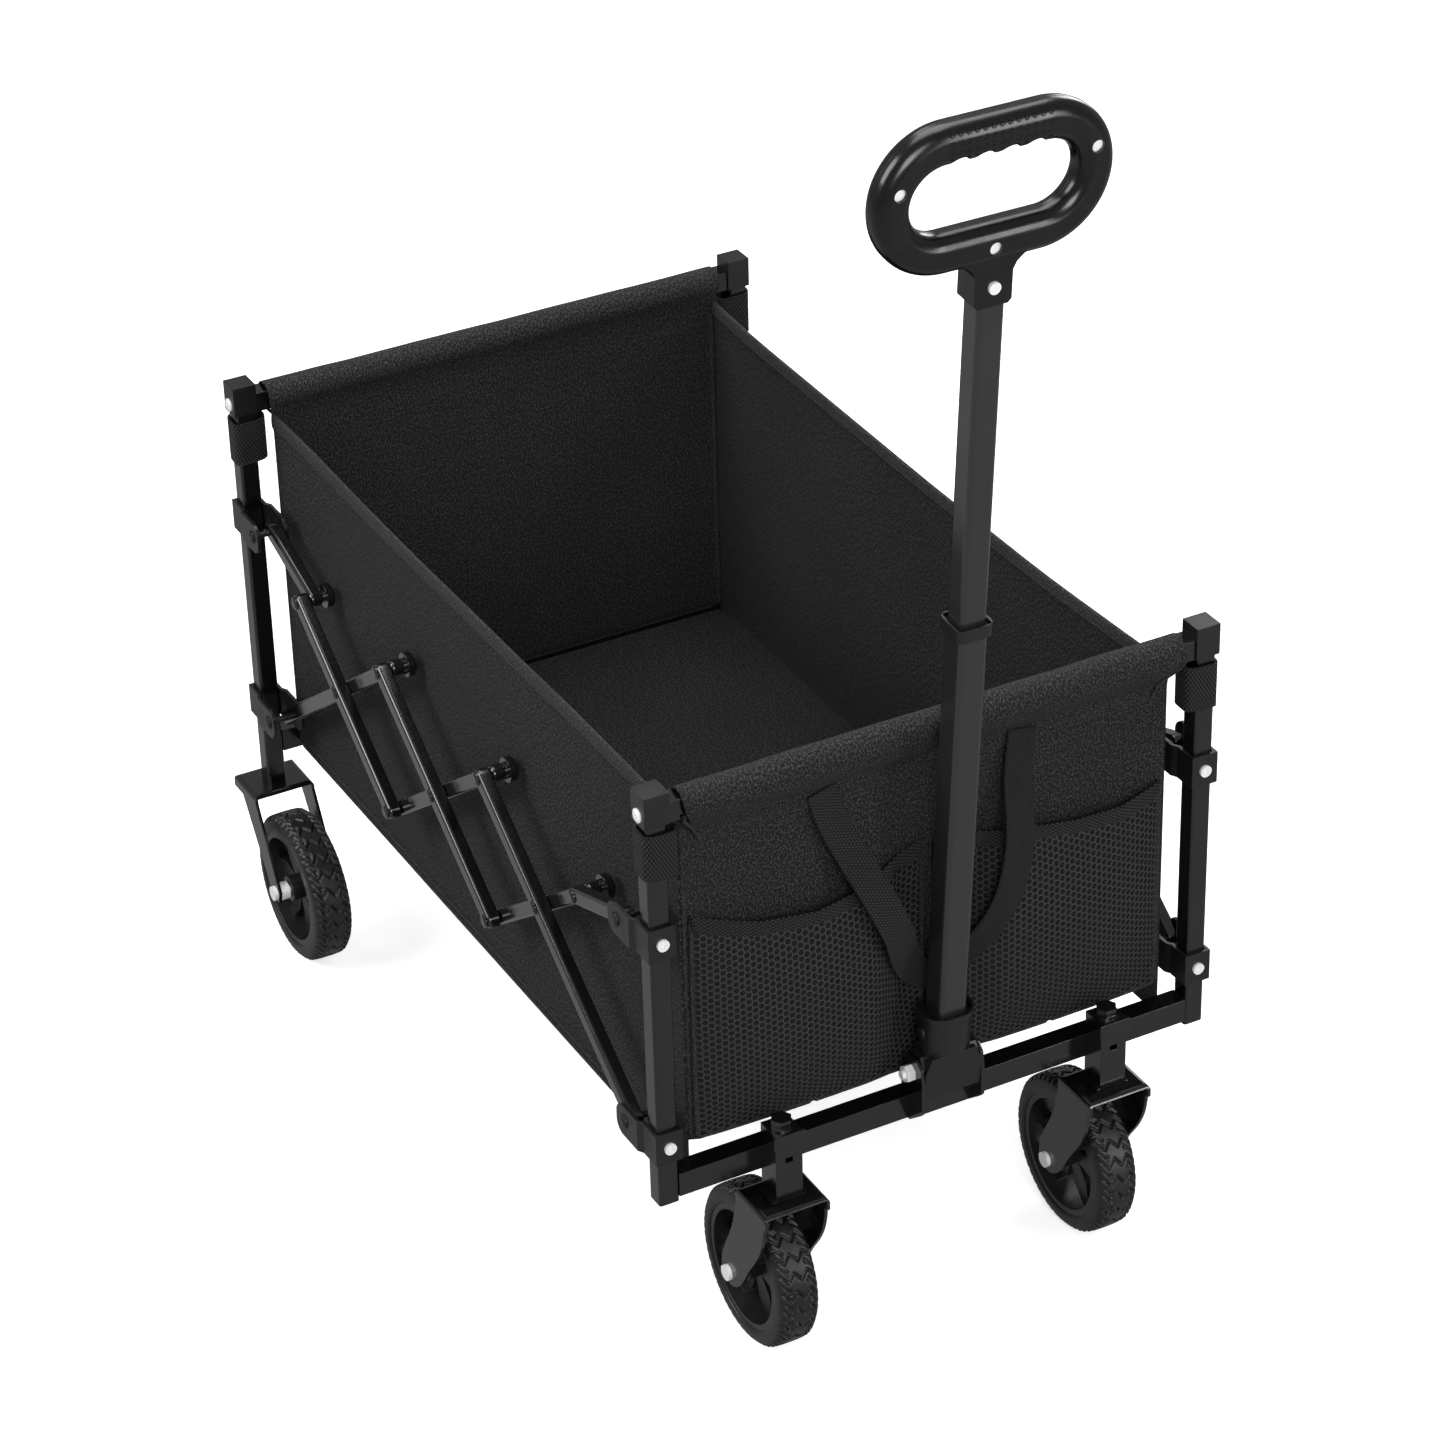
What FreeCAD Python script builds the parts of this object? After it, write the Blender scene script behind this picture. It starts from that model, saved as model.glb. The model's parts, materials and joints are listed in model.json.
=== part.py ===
import FreeCAD, Part
import math
import os
import Sketcher
from FreeCAD import Placement, Rotation, Vector

# A folding garden wagon: two end frames of square tube joined by two scissor lattices, a fabric tub,
# four wheels (the front pair on swivelling forks) and a telescoping pull handle.
# +X is to the right seen from the handle end, +Y to the rear, +Z up. The origin is on the ground,
# at the middle of the overall length and width.

doc = FreeCAD.newDocument("wagon")

DIMENSIONS = [
    ("mid_y", 35.5, "middle plane between the end frames"),
    ("half_length", 394.5, "middle plane to the centre of a corner post"),
    ("half_width", 250.0, "centre plane to the centre of a corner post"),
    ("base_z", 186.0, "ground to the foot of a front post"),
    ("frame_height", 387.5, "foot of a front post to the top of its cap"),
    ("post_size", 18.0, "corner post, square"),
    ("tube_wall", 1.5, "wall of the frame's square tube"),
    ("rear_drop", 27.5, "how far a rear post reaches below a front one"),
    ("cap_size", 22.0, "moulded corner socket on a post's top, square"),
    ("cap_height", 28.0, "height of that socket"),
    ("cap_top", 3.5, "its closed top"),
    ("top_tube_z", 368.0, "post foot to the centre of the top tube"),
    ("low_tube_z", 15.0, "post foot to the centre of the lower tube"),
    ("low_tube_height", 22.0, "lower tube, height"),
    ("pivot_in", 38.0, "post centre to the lattice pivots on its brackets"),
    ("low_pivot_z", 57.5, "post foot to the lower pivot"),
    ("high_pivot_z", 252.5, "post foot to the upper pivot"),
    ("bracket_height", 29.0, "bracket on a post"),
    ("bracket_wall", 3.0, "its wall"),
    ("ear_end", 51.0, "post centre to the end of its ears"),
    ("fit", 0.2, "gap round a moulding on a tube"),
    ("rest_angle", 35.52, "slope of the long bars with the wagon open"),
    ("fold_angle", 44.0, "how far they turn to fold it"),
    ("long_arm", 195.0, "bracket pivot to the first crossing"),
    ("arm", 121.5, "crossing to the next pivot"),
    ("short_arm", 92.0, "crossing to the end carrying a half bar"),
    ("half_bar", 88.8, "half bar between its pivots"),
    ("bar_width", 14.5, "lattice bar"),
    ("bar_thick", 11.5, "lattice bar"),
    ("layer", 11.75, "post centre line to the outer face of a bar layer"),
    ("ear_play", 0.45, "gap between a bar and the bracket's ears"),
    ("pin_radius", 3.0, "lattice rivet shank"),
    ("pin_play", 0.05, "running clearance on a pin"),
    ("rivet_radius", 6.0, "rivet head"),
    ("rivet_height", 2.4, "rivet head"),
    ("knob_radius", 11.0, "round plastic pivot knob"),
    ("knob_thick", 8.0, "its head"),
    ("knob_neck", 3.0, "its neck"),
    ("stem_x", 154.0, "centre plane to a caster stem"),
    ("stem_size", 24.5, "caster stem, square"),
    ("stem_top", 50.0, "post foot to the top of the stem"),
    ("stem_foot", -17.5, "post foot to the lower end of the stem"),
    ("fork_width", 60.0, "fork, outside"),
    ("fork_plate", 3.0, "fork plate"),
    ("crown_length", 50.0, "fork crown, fore and aft"),
    ("wheel_radius", 71.5, "wheel, outside"),
    ("wheel_width", 36.4, "wheel, tread"),
    ("rim_radius", 56.0, "seat of the tyre on the rim"),
    ("hub_radius", 12.0, "wheel hub"),
    ("axle_radius", 4.0, "wheel axle"),
    ("king_radius", 5.0, "king bolt the front fork turns on"),
    ("king_play", 0.3, "gap between stem and crown"),
    ("trail", 41.0, "front axle behind its stem"),
    ("rear_sweep", 57.0, "rear axle ahead of its post"),
    ("handle_y", 410.0, "middle plane to the handle's pivot"),
    ("handle_z", 54.0, "post foot to the handle's pivot"),
    ("handle_lean", 4.5, "handle ahead of upright"),
    ("low_handle", 26.4, "lower handle tube, square"),
    ("high_handle", 23.2, "upper handle tube, square"),
    ("handle_wall", 0.9, "wall of both"),
    ("low_handle_from", 12.0, "pivot to the lower end of the lower tube"),
    ("low_handle_to", 430.0, "pivot to its upper end"),
    ("high_handle_from", 360.0, "pivot to the lower end of the drawn-out upper tube"),
    ("high_handle_to", 742.0, "pivot to its upper end, inside the grip"),
    ("grip_from", 715.0, "pivot to the foot of the grip's neck"),
    ("grip_mid", 809.0, "pivot to the centre of the grip's ring"),
    ("grip_width", 200.0, "ring, outside"),
    ("grip_height", 120.0, "ring, outside"),
    ("hand_width", 140.0, "hand opening"),
    ("hand_height", 56.0, "hand opening"),
    ("grip_half", 13.0, "thickness of one grip shell"),
    ("tub_half_width", 225.0, "centre plane to the outside of a side panel"),
    ("tub_half_length", 388.0, "middle plane to the outside of an end panel"),
    ("cloth", 3.0, "fabric panel"),
    ("floor_top", 25.0, "post foot to the floor's surface"),
    ("floor_thick", 8.0, "padded floor board"),
    ("side_foot", 9.0, "post foot to the hem of a side panel"),
    ("side_top", 352.0, "post foot to the top of a side panel"),
    ("end_foot", 42.0, "post foot to the hem of an end panel"),
    ("sleeve_radius", 14.0, "fabric sleeve round a top tube"),
    ("sleeve_half", 229.0, "half the length of that sleeve"),
    ("pocket_in", 31.0, "centre plane to the inner end of a pocket"),
    ("pocket_out", 216.0, "centre plane to its outer end"),
    ("pocket_wall", 2.0, "pocket mesh"),
    ("screw_head", 5.0, "radius of a grip screw's head"),
    ("screw_sink", 5.0, "depth it is sunk in the front shell"),
    ("clevis_gap", 53.0, "between the clevis ears"),
    ("barrel", 52.4, "cross barrel of the handle's foot"),
]

sheet = doc.addObject("Spreadsheet::Sheet", "dims")
for row, (alias, number, note) in enumerate(DIMENSIONS, start=1):
    sheet.set(f"A{row}", note)
    sheet.set(f"B{row}", str(number))
    sheet.setAlias(f"B{row}", alias)
doc.recompute()

SIDES = (("left", -1), ("right", 1))
finished = []


def dim(alias):
    """The sheet's number for an alias."""
    return float(getattr(sheet, alias))


def sized(text):
    """An expression in which every alias of the sheet is written as dims.alias."""
    words = {alias for alias, _, _ in DIMENSIONS}
    out, word = "", ""
    for letter in text + " ":
        if letter.isalnum() or letter == "_":
            word += letter
            continue
        out += ("dims." + word if word in words else word) + letter
        word = ""
    return out.strip()


def value(text):
    """The number that an expression on the sheet comes to."""
    return float(sheet.evalExpression(sized(str(text))))


def bind(item, **properties):
    """Bind properties to expressions; a double underscore stands for a dot."""
    for name, text in properties.items():
        item.setExpression(name.replace("__", "."), sized(str(text)))


def place(item, x=0, y=0, z=0):
    """Bind an item's position."""
    bind(item, Placement__Base__x=x, Placement__Base__y=y, Placement__Base__z=z)
    return item


def keep(item, label):
    """Mark an object as a finished sub-part under its own name."""
    item.Label = label
    finished.append(item)
    return item


def block(name, size, centre):
    """A Part box bound to the sheet, centred in x and y and standing on its z."""
    item = doc.addObject("Part::Box", name)
    bind(item, Length=size[0], Width=size[1], Height=size[2])
    x = f"({centre[0]}) - ({size[0]}) / 2"
    y = f"({centre[1]}) - ({size[1]}) / 2"
    return place(item, x, y, centre[2])


AXIS_TURN = {
    "x": Rotation(Vector(0, 1, 0), 90),
    "y": Rotation(Vector(1, 0, 0), -90),
    "z": Rotation(),
}


def rod(name, radius, length, start, axis="z"):
    """A Part cylinder bound to the sheet, from its start along a row axis."""
    item = doc.addObject("Part::Cylinder", name)
    item.Placement = Placement(Vector(), AXIS_TURN[axis])
    bind(item, Radius=radius, Height=length)
    return place(item, *start)


def cone(name, radius, end_radius, length, start, axis="z"):
    """A Part cone bound to the sheet, from its start along a row axis."""
    item = doc.addObject("Part::Cone", name)
    item.Placement = Placement(Vector(), AXIS_TURN[axis])
    bind(item, Radius1=radius, Radius2=end_radius, Height=length)
    return place(item, *start)


def nut(name, flat, length, start, axis="z"):
    """A hexagonal prism bound to the sheet, given across its flats."""
    item = doc.addObject("Part::Prism", name)
    item.Polygon = 6
    item.Placement = Placement(Vector(), AXIS_TURN[axis])
    bind(item, Circumradius=f"({flat}) / sqrt(3)", Height=length)
    return place(item, *start)


def cut(name, whole, tool):
    """One Part shape less another."""
    item = doc.addObject("Part::Cut", name)
    item.Base, item.Tool = whole, tool
    return item


def fuse(name, pieces):
    """Several Part shapes made one solid."""
    item = doc.addObject("Part::MultiFuse", name)
    item.Shapes = pieces
    return item


def group(name, pieces):
    """Separate solids that share one sub-part."""
    item = doc.addObject("Part::Compound", name)
    item.Links = pieces
    return item


def body_of(name):
    """A new PartDesign body."""
    return doc.addObject("PartDesign::Body", name)


def origin_of(body, role):
    """A body's own origin plane or axis."""
    return [f for f in body.Origin.OriginFeatures if f.Role == role][0]


def sketch_on(body, role, name, offset=None):
    """A sketch on a body's origin plane, moved along its normal by an expression."""
    sketch = body.newObject("Sketcher::SketchObject", name)
    sketch.AttachmentSupport = [(origin_of(body, role), "")]
    sketch.MapMode = "FlatFace"
    if offset is not None:
        bind(sketch, AttachmentOffset__Base__z=offset)
    return sketch


def measure(sketch, kind, refs, text):
    """A dimension on a sketch bound to the sheet."""
    index = sketch.addConstraint(Sketcher.Constraint(kind, *refs, value(text)))
    sketch.setExpression(f"Constraints[{index}]", sized(str(text)))


def rectangle(sketch, width, height):
    """A rectangle centred on the sketch's origin."""
    w, v = value(width) / 2, value(height) / 2
    corners = [Vector(-w, -v), Vector(w, -v), Vector(w, v), Vector(-w, v)]
    first = sketch.GeometryCount
    for k in range(4):
        sketch.addGeometry(Part.LineSegment(corners[k], corners[(k + 1) % 4]), False)
    for k in range(4):
        sketch.addConstraint(Sketcher.Constraint("Coincident", first + k, 2, first + (k + 1) % 4, 1))
    for k, kind in enumerate(("Horizontal", "Vertical", "Horizontal", "Vertical")):
        sketch.addConstraint(Sketcher.Constraint(kind, first + k))
    sketch.addConstraint(Sketcher.Constraint("Symmetric", first, 1, first + 2, 1, -1, 1))
    measure(sketch, "DistanceX", (first, 1, first, 2), width)
    measure(sketch, "DistanceY", (first + 1, 1, first + 1, 2), height)


def stadium(sketch, length, radius, ahead="0"):
    """A slot outline along the sketch's x: round ends, the rear centre at the origin less its start."""
    first = sketch.GeometryCount
    up, half = Vector(0, 0, 1), math.pi / 2
    r, x0 = value(radius), -value(ahead)
    x1 = x0 + value(length)
    sketch.addGeometry(Part.ArcOfCircle(Part.Circle(Vector(x0, 0), up, r), half, 3 * half), False)
    sketch.addGeometry(Part.ArcOfCircle(Part.Circle(Vector(x1, 0), up, r), -half, half), False)
    sketch.addGeometry(Part.LineSegment(Vector(x0, -r), Vector(x1, -r)), False)
    sketch.addGeometry(Part.LineSegment(Vector(x1, r), Vector(x0, r)), False)
    for a, b, c, d in ((0, 2, 2, 1), (2, 2, 1, 1), (1, 2, 3, 1), (3, 2, 0, 1)):
        sketch.addConstraint(Sketcher.Constraint("Tangent", first + a, b, first + c, d))
    sketch.addConstraint(Sketcher.Constraint("Horizontal", first + 2))
    if x0:
        sketch.addConstraint(Sketcher.Constraint("PointOnObject", first, 3, -1))
        measure(sketch, "DistanceX", (first, 3, -1, 1), ahead)
    else:
        sketch.addConstraint(Sketcher.Constraint("Coincident", first, 3, -1, 1))
    measure(sketch, "DistanceX", (first, 3, first + 1, 3), length)
    measure(sketch, "Radius", (first,), radius)


def circle(sketch, x, radius):
    """A circle on the sketch's x axis; a zero x puts it on the origin."""
    centre = Vector(value(x), 0)
    index = sketch.addGeometry(Part.Circle(centre, Vector(0, 0, 1), value(radius)), False)
    if x == "0":
        sketch.addConstraint(Sketcher.Constraint("Coincident", index, 3, -1, 1))
    else:
        sketch.addConstraint(Sketcher.Constraint("PointOnObject", index, 3, -1))
        measure(sketch, "DistanceX", (-1, 1, index, 3), x)
    measure(sketch, "Radius", (index,), radius)


def outline(sketch, points):
    """A closed outline of straight runs through points worked out from the sheet."""
    first = sketch.GeometryCount
    count = len(points)
    for k in range(count):
        ends = Vector(*points[k]), Vector(*points[(k + 1) % count])
        sketch.addGeometry(Part.LineSegment(*ends), False)
    for k in range(count):
        sketch.addConstraint(Sketcher.Constraint("Coincident", first + k, 2, first + (k + 1) % count, 1))
        sketch.addConstraint(Sketcher.Constraint("Block", first + k))


def smooth_outline(sketch, points):
    """A closed smooth curve through points worked out from the sheet."""
    curve = Part.BSplineCurve()
    curve.interpolate([Vector(*p) for p in points], PeriodicFlag=True)
    index = sketch.addGeometry(curve, False)
    sketch.addConstraint(Sketcher.Constraint("Block", index))


def pad(body, sketch, name, length, middle=False):
    """A pad of a sketch, along its normal or both ways from it."""
    item = body.newObject("PartDesign::Pad", name)
    item.Profile = sketch
    bind(item, Length=length)
    item.Midplane = middle
    doc.recompute()
    return item


def pocket(body, sketch, name, length, middle=True, reverse=False):
    """A pocket that has to take something away, both ways from its sketch or one way."""
    before = body.Shape.Volume
    item = body.newObject("PartDesign::Pocket", name)
    item.Profile = sketch
    bind(item, Length=length)
    item.Midplane = middle
    item.Reversed = reverse
    doc.recompute()
    if body.Shape.Volume > before - 1e-3:
        raise RuntimeError(f"{name} cuts nothing")
    return item


def rounded(body, name, radius, wanted):
    """A fillet on the edges of the body's tip that a test picks by their box."""
    tip = body.Tip
    names = [
        f"Edge{k}" for k, edge in enumerate(tip.Shape.Edges, start=1) if wanted(edge.BoundBox)
    ]
    item = body.newObject("PartDesign::Fillet", name)
    item.Base = (tip, names)
    bind(item, Radius=radius)
    doc.recompute()
    return item


def extruded_tube(name, width, height, wall, length, turn=None, at=(0, 0, 0), corner=None):
    """A rectangular tube: two rectangles padded along the body's z, then placed."""
    body = body_of(name)
    sketch = sketch_on(body, "XY_Plane", name + "_section")
    rectangle(sketch, width, height)
    rectangle(sketch, f"{width} - 2 * {wall}", f"{height} - 2 * {wall}")
    pad(body, sketch, name + "_pad", length)
    if corner:
        reach = float(body.Shape.BoundBox.XMax)
        hollow = reach - value(wall)
        inside = f"({corner}) - ({wall})"
        rounded(body, name + "_hollow", inside, lambda b: b.ZLength > 1 and abs(abs(b.Center.x) - hollow) < 0.01)
        rounded(body, name + "_corners", corner, lambda b: b.ZLength > 1 and abs(b.Center.x) > reach - 0.01)
    if turn:
        body.Placement = Placement(Vector(), turn)
    return place(body, *at)


# ---------------------------------------------------------------- end frames

ALONG_X = Rotation(Vector(0, 1, 0), 90)
ALONG_Y = Rotation(Vector(1, 0, 0), -90)


def end_frame(end, way, drop):
    """Posts, caps, cross tubes, brackets and screws of one end; way is -1 for the front."""
    y = f"mid_y + ({way}) * half_length"
    foot = f"base_z - ({drop})"
    for side, hand in SIDES:
        x = f"({hand}) * half_width"
        high = f"frame_height - cap_top - fit + ({drop})"
        post = extruded_tube(
            f"post_{end}_{side}", "post_size", "post_size", "tube_wall", high, None, (x, y, foot), 2.5
        )
        keep(post, f"post_{end}_{side}")
    for label, z, tall, inner in (
        ("top_tube", "top_tube_z", "post_size", "cap_size"),
        ("lower_tube", "low_tube_z", "low_tube_height", "post_size"),
    ):
        span = f"2 * half_width - {inner}"
        start = (f"{inner} / 2 - half_width", y, f"base_z + {z}")
        tube = extruded_tube(f"{label}_{end}", tall, "post_size", "tube_wall", span, ALONG_X, start)
        keep(tube, f"{label}_{end}")
    keep(group(f"caps_{end}", [corner_cap(end, side, hand, y) for side, hand in SIDES]), f"post_caps_{end}")
    brackets = [
        bracket(f"bracket_{end}_{side}_{level}", way, hand, y, level)
        for side, hand in SIDES
        for level in ("low", "high")
    ]
    keep(group(f"brackets_all_{end}", brackets), f"lattice_brackets_{end}")
    keep(group(f"screws_all_{end}", frame_screws(end, way, y)), f"frame_screws_{end}")


def corner_cap(end, side, hand, y):
    """A moulded socket over a post's top, open below, closed above."""
    x = f"({hand}) * half_width"
    z = "base_z + frame_height - cap_height"
    outer = block(f"cap_{end}_{side}_outer", ("cap_size", "cap_size", "cap_height"), (x, y, z))
    inside = "post_size + 2 * fit"
    inner = block(f"cap_{end}_{side}_inner", (inside, inside, "cap_height - cap_top"), (x, y, z))
    shell = cut(f"cap_{end}_{side}_shell", outer, inner)
    hole = rod(
        f"cap_{end}_{side}_hole", "pin_radius", "cap_size", (f"{x} - cap_size / 2", y, "base_z + top_tube_z"), "x"
    )
    return cut(f"cap_{end}_{side}", shell, hole)


def bracket(name, way, hand, y, level):
    """A moulded U round a post whose two ears, one each side of the bars, hold a lattice pin."""
    body = body_of(name)
    sketch = sketch_on(body, "XY_Plane", name + "_plan")
    half, wall, gap = dim("post_size") / 2 + dim("fit"), dim("bracket_wall"), dim("layer") + dim("ear_play")
    end, step, flare = dim("ear_end"), dim("post_size") / 2 + 1, 5
    right = [
        (half + wall, -half - wall),
        (half + wall, step),
        (gap + wall, step + flare),
        (gap + wall, end),
        (gap, end),
        (gap, step + flare + 1),
        (half, step + 1),
        (half, -half),
    ]
    left = [(-x, v) for x, v in reversed(right)]
    outline(sketch, right + left)
    pad(body, sketch, name + "_pad", "bracket_height", True)
    rounded(
        body,
        name + "_ends",
        "bracket_height / 2 - 3.5",
        lambda b: b.YMin > end - 0.01 and b.XLength > 1 and b.ZLength < 0.01,
    )
    holes = sketch_on(body, "YZ_Plane", name + "_pin_hole")
    circle(holes, "pivot_in", "pin_radius + 0.02")
    pocket(body, holes, name + "_bore", "4 * layer")
    body.Placement = Placement(Vector(), Rotation(Vector(0, 0, 1), 0 if way < 0 else 180))
    place(body, f"({hand}) * half_width", y, f"base_z + {level}_pivot_z")
    return group(name + "_with_pin", [body, lattice_pin(name + "_pin", hand, y, way, level)])


def lattice_pin(name, hand, y, way, level):
    """The pin through a bracket's ears: a shank with a low domed head outside."""
    start = (
        f"({hand}) * half_width - (layer + ear_play + bracket_wall)",
        f"{y} - ({way}) * pivot_in",
        f"base_z + {level}_pivot_z",
    )
    shank = rod(name + "_shank", "pin_radius", "2 * (layer + ear_play + bracket_wall)", start, "x")
    outer = f"({hand}) * (half_width + layer + ear_play + bracket_wall)"
    return fuse(name, [shank, *domed_head(name, hand, outer, start[1], start[2])])


def domed_head(name, hand, x, y, z):
    """A low domed rivet head standing outwards from x: a disc and a cone on it."""
    disc_x = x if hand > 0 else f"{x} - rivet_height / 2"
    disc = rod(name + "_disc", "rivet_radius", "rivet_height / 2", (disc_x, y, z), "x")
    radii = ("rivet_radius", "rivet_radius * 0.62")
    if hand < 0:
        radii = radii[::-1]
    dome_x = f"{x} + rivet_height / 2" if hand > 0 else f"{x} - rivet_height"
    return [disc, cone(name + "_dome", *radii, "rivet_height / 2", (dome_x, y, z), "x")]


def frame_screws(end, way, y):
    """Socket-head screws through the brackets' outer faces, and a bolt into each top tube end."""
    screws = []
    for side, hand in SIDES:
        for level in ("low", "high"):
            name = f"screw_{end}_{side}_{level}"
            face = "post_size / 2 + fit + bracket_wall"
            start_y = f"{y} + ({way}) * ({face})" if way > 0 else f"{y} - ({face}) - 2.4"
            centre = (f"({hand}) * half_width", start_y, f"base_z + {level}_pivot_z")
            head = rod(name + "_head", "5.2", "2.4", centre, "y")
            socket_y = f"{start_y} + 1" if way > 0 else start_y
            socket = nut(name + "_socket", "3.5", "1.4", (centre[0], socket_y, centre[2]), "y")
            screws.append(cut(name, head, socket))
        name = f"bolt_{end}_{side}"
        x = f"({hand}) * (half_width + cap_size / 2)"
        z = "base_z + top_tube_z"
        screws.append(fuse(name, domed_head(name, hand, x, y, z)))
    return screws


end_frame("front", -1, "0")
end_frame("rear", 1, "rear_drop")

# ---------------------------------------------------------------- side lattices


def lattice_bar(name, holes, start, length):
    """A round-ended bar in its own frame: x along it, z inwards through its thickness, a hole per pivot."""
    body = body_of(name)
    sketch = sketch_on(body, "XY_Plane", name + "_plan")
    stadium(sketch, length, "bar_width / 2", start)
    pad(body, sketch, name + "_pad", "bar_thick")
    rounded(body, name + "_edges", "3.2", lambda b: b.ZLength < 0.01 and b.ZMin < 0.01)
    rounded(body, name + "_inner_edges", "1.2", lambda b: b.ZLength < 0.01 and b.ZMin > dim("bar_thick") - 0.01)
    drilled = sketch_on(body, "XY_Plane", name + "_holes")
    for x, radius in holes:
        circle(drilled, x, radius)
    pocket(body, drilled, name + "_bores", "3 * bar_thick")
    return body


def pivot_rivet(name, x, through, knob):
    """A rivet in a bar's own frame: head outside the bar, shank inwards, and a knob past the bars."""
    pieces = [
        rod(name + "_shank", "pin_radius", through, (x, "0", "0")),
        rod(name + "_disc", "rivet_radius", "rivet_height / 2", (x, "0", "-rivet_height / 2")),
        cone(name + "_dome", "rivet_radius * 0.62", "rivet_radius", "rivet_height / 2", (x, "0", "-rivet_height")),
    ]
    if knob:
        pieces += pivot_knob(name, x, through)
    return fuse(name, pieces)


def pivot_knob(name, x, z):
    """A round plastic knob with a short neck, its outer edge cut at a slant."""
    return [
        rod(name + "_neck", "knob_radius / 2", "knob_neck", (x, "0", z)),
        rod(name + "_knob", "knob_radius", "knob_thick - 2", (x, "0", f"{z} + knob_neck")),
        cone(name + "_edge", "knob_radius", "knob_radius - 2", "2", (x, "0", f"{z} + knob_neck + knob_thick - 2")),
    ]


def direction(slope, turned=1):
    """The point one unit from a pivot at a slope in degrees, as y and z."""
    return turned * math.cos(math.radians(slope)), math.sin(math.radians(slope))


def at_slope(point, slope, hand, layer_face):
    """The placement of a bar's own frame: its x up the slope in the y-z plane, its z inwards."""
    c, s = direction(slope)
    along, inward = Vector(0, c, s), Vector(-hand, 0, 0)
    turn = Rotation(along, inward.cross(along), inward, "XYZ")
    return Placement(Vector(hand * layer_face, *point), turn)


OUTER = dim("half_width") + dim("layer")
INNER = dim("half_width") - dim("layer") + dim("bar_thick")
front_low = (dim("mid_y") - dim("half_length") + dim("pivot_in"), dim("base_z") + dim("low_pivot_z"))
rear_low = (dim("mid_y") + dim("half_length") - dim("pivot_in"), front_low[1])
high = dim("base_z") + dim("high_pivot_z")
slope = dim("rest_angle")


def step(point, reach, towards):
    """A pivot a reach away: towards 1 is rearwards and up, -1 is forwards and up."""
    c, s = direction(slope, towards)
    return point[0] + reach * c, point[1] + reach * s


crossing = {3: step(front_low, dim("long_arm"), 1), 1: step(rear_low, dim("long_arm"), -1)}
foot_2 = step(crossing[3], -dim("arm"), -1)
crossing[2] = step(foot_2, dim("arm"), 1)
foot_1 = step(crossing[2], -dim("arm"), -1)

TIGHT = "pin_radius + 0.02"
LOOSE = "pin_radius + pin_play"
THROUGH = "2 * layer"
STUB = "bar_thick"

# Each bar: its lower arm, upper arm, whether it leans rearwards (outer layer) or forwards (inner
# layer), its crossing, and which of its pivots carry a rivet of its own.
BARS = {
    "bar_outer_front": ("long_arm", "arm", 1, 3, ("mid", "top_knob")),
    "bar_outer_middle": ("arm", "arm", 1, 2, ("foot", "mid", "top_knob")),
    "bar_outer_rear": ("arm", "short_arm", 1, 1, ("foot", "mid", "top_stub")),
    "bar_inner_front": ("arm", "short_arm", -1, 3, ("knob_stub",)),
    "bar_inner_middle": ("arm", "arm", -1, 2, ()),
    "bar_inner_rear": ("long_arm", "arm", -1, 1, ()),
}


def bar_with_rivets(name, side, hand):
    """One lattice bar of one side, with the rivets and knob that turn with it."""
    low, top, leans, number, rivets = BARS[name]
    label = f"{name}_{side}"
    outer = leans > 0
    own = {"foot": "foot" in rivets, "mid": "mid" in rivets, "top": any("top" in r for r in rivets)}
    holes = [
        ("0", TIGHT if own["foot"] else LOOSE),
        (low, TIGHT if own["mid"] else LOOSE),
        (f"{low} + {top}", TIGHT if own["top"] or "knob_stub" in rivets else LOOSE),
    ]
    bar = lattice_bar(label + "_bar", holes, "0", f"{low} + {top}")
    pieces = [bar]
    for kind in rivets:
        x = {"foot": "0", "mid": low}.get(kind, f"{low} + {top}")
        if kind == "knob_stub":
            stub = rod(f"{label}_stub", "pin_radius", STUB, (x, "0", "0"))
            pieces.append(fuse(f"{label}_{kind}", [stub, *pivot_knob(f"{label}_{kind}", x, STUB)]))
        else:
            through = STUB if kind == "top_stub" else THROUGH
            pieces.append(pivot_rivet(f"{label}_{kind}", x, through, kind == "top_knob"))
    item = keep(group(label, pieces), label)
    foot = step(crossing[number], -dim(low), leans)
    angle = slope if outer else 180 - slope
    item.Placement = at_slope(foot, angle, hand, OUTER if outer else INNER)
    return item


def half_bar(end, side, hand):
    """The short bar from an upper bracket down to the lattice's last upper pivot."""
    label = f"half_bar_{end}_{side}"
    outer = end == "front"
    bar = lattice_bar(label + "_bar", [("0", LOOSE), ("half_bar", TIGHT)], "0", "half_bar")
    if outer:
        pin = pivot_rivet(f"{label}_rivet", "half_bar", STUB, False)
    else:
        stub = rod(f"{label}_stub", "pin_radius", STUB, ("half_bar", "0", "0"))
        pin = fuse(f"{label}_pin", [stub, *pivot_knob(f"{label}_pin", "half_bar", STUB)])
    item = keep(group(label, [bar, pin]), label)
    way = 1 if outer else -1
    start = (front_low[0] if outer else rear_low[0], high)
    end_point = step(crossing[3 if outer else 1], dim("short_arm"), -way)
    angle = math.degrees(math.atan2(end_point[1] - start[1], end_point[0] - start[0]))
    item.Placement = at_slope(start, angle, hand, OUTER if outer else INNER)


for side, hand in SIDES:
    for bar_name in BARS:
        bar_with_rivets(bar_name, side, hand)
    for end in ("front", "rear"):
        half_bar(end, side, hand)

# ---------------------------------------------------------------- wheels, forks and axles

AXLE_Z = dim("wheel_radius")
stem_y = "mid_y - half_length - post_size / 2 - stem_size / 2"


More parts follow.
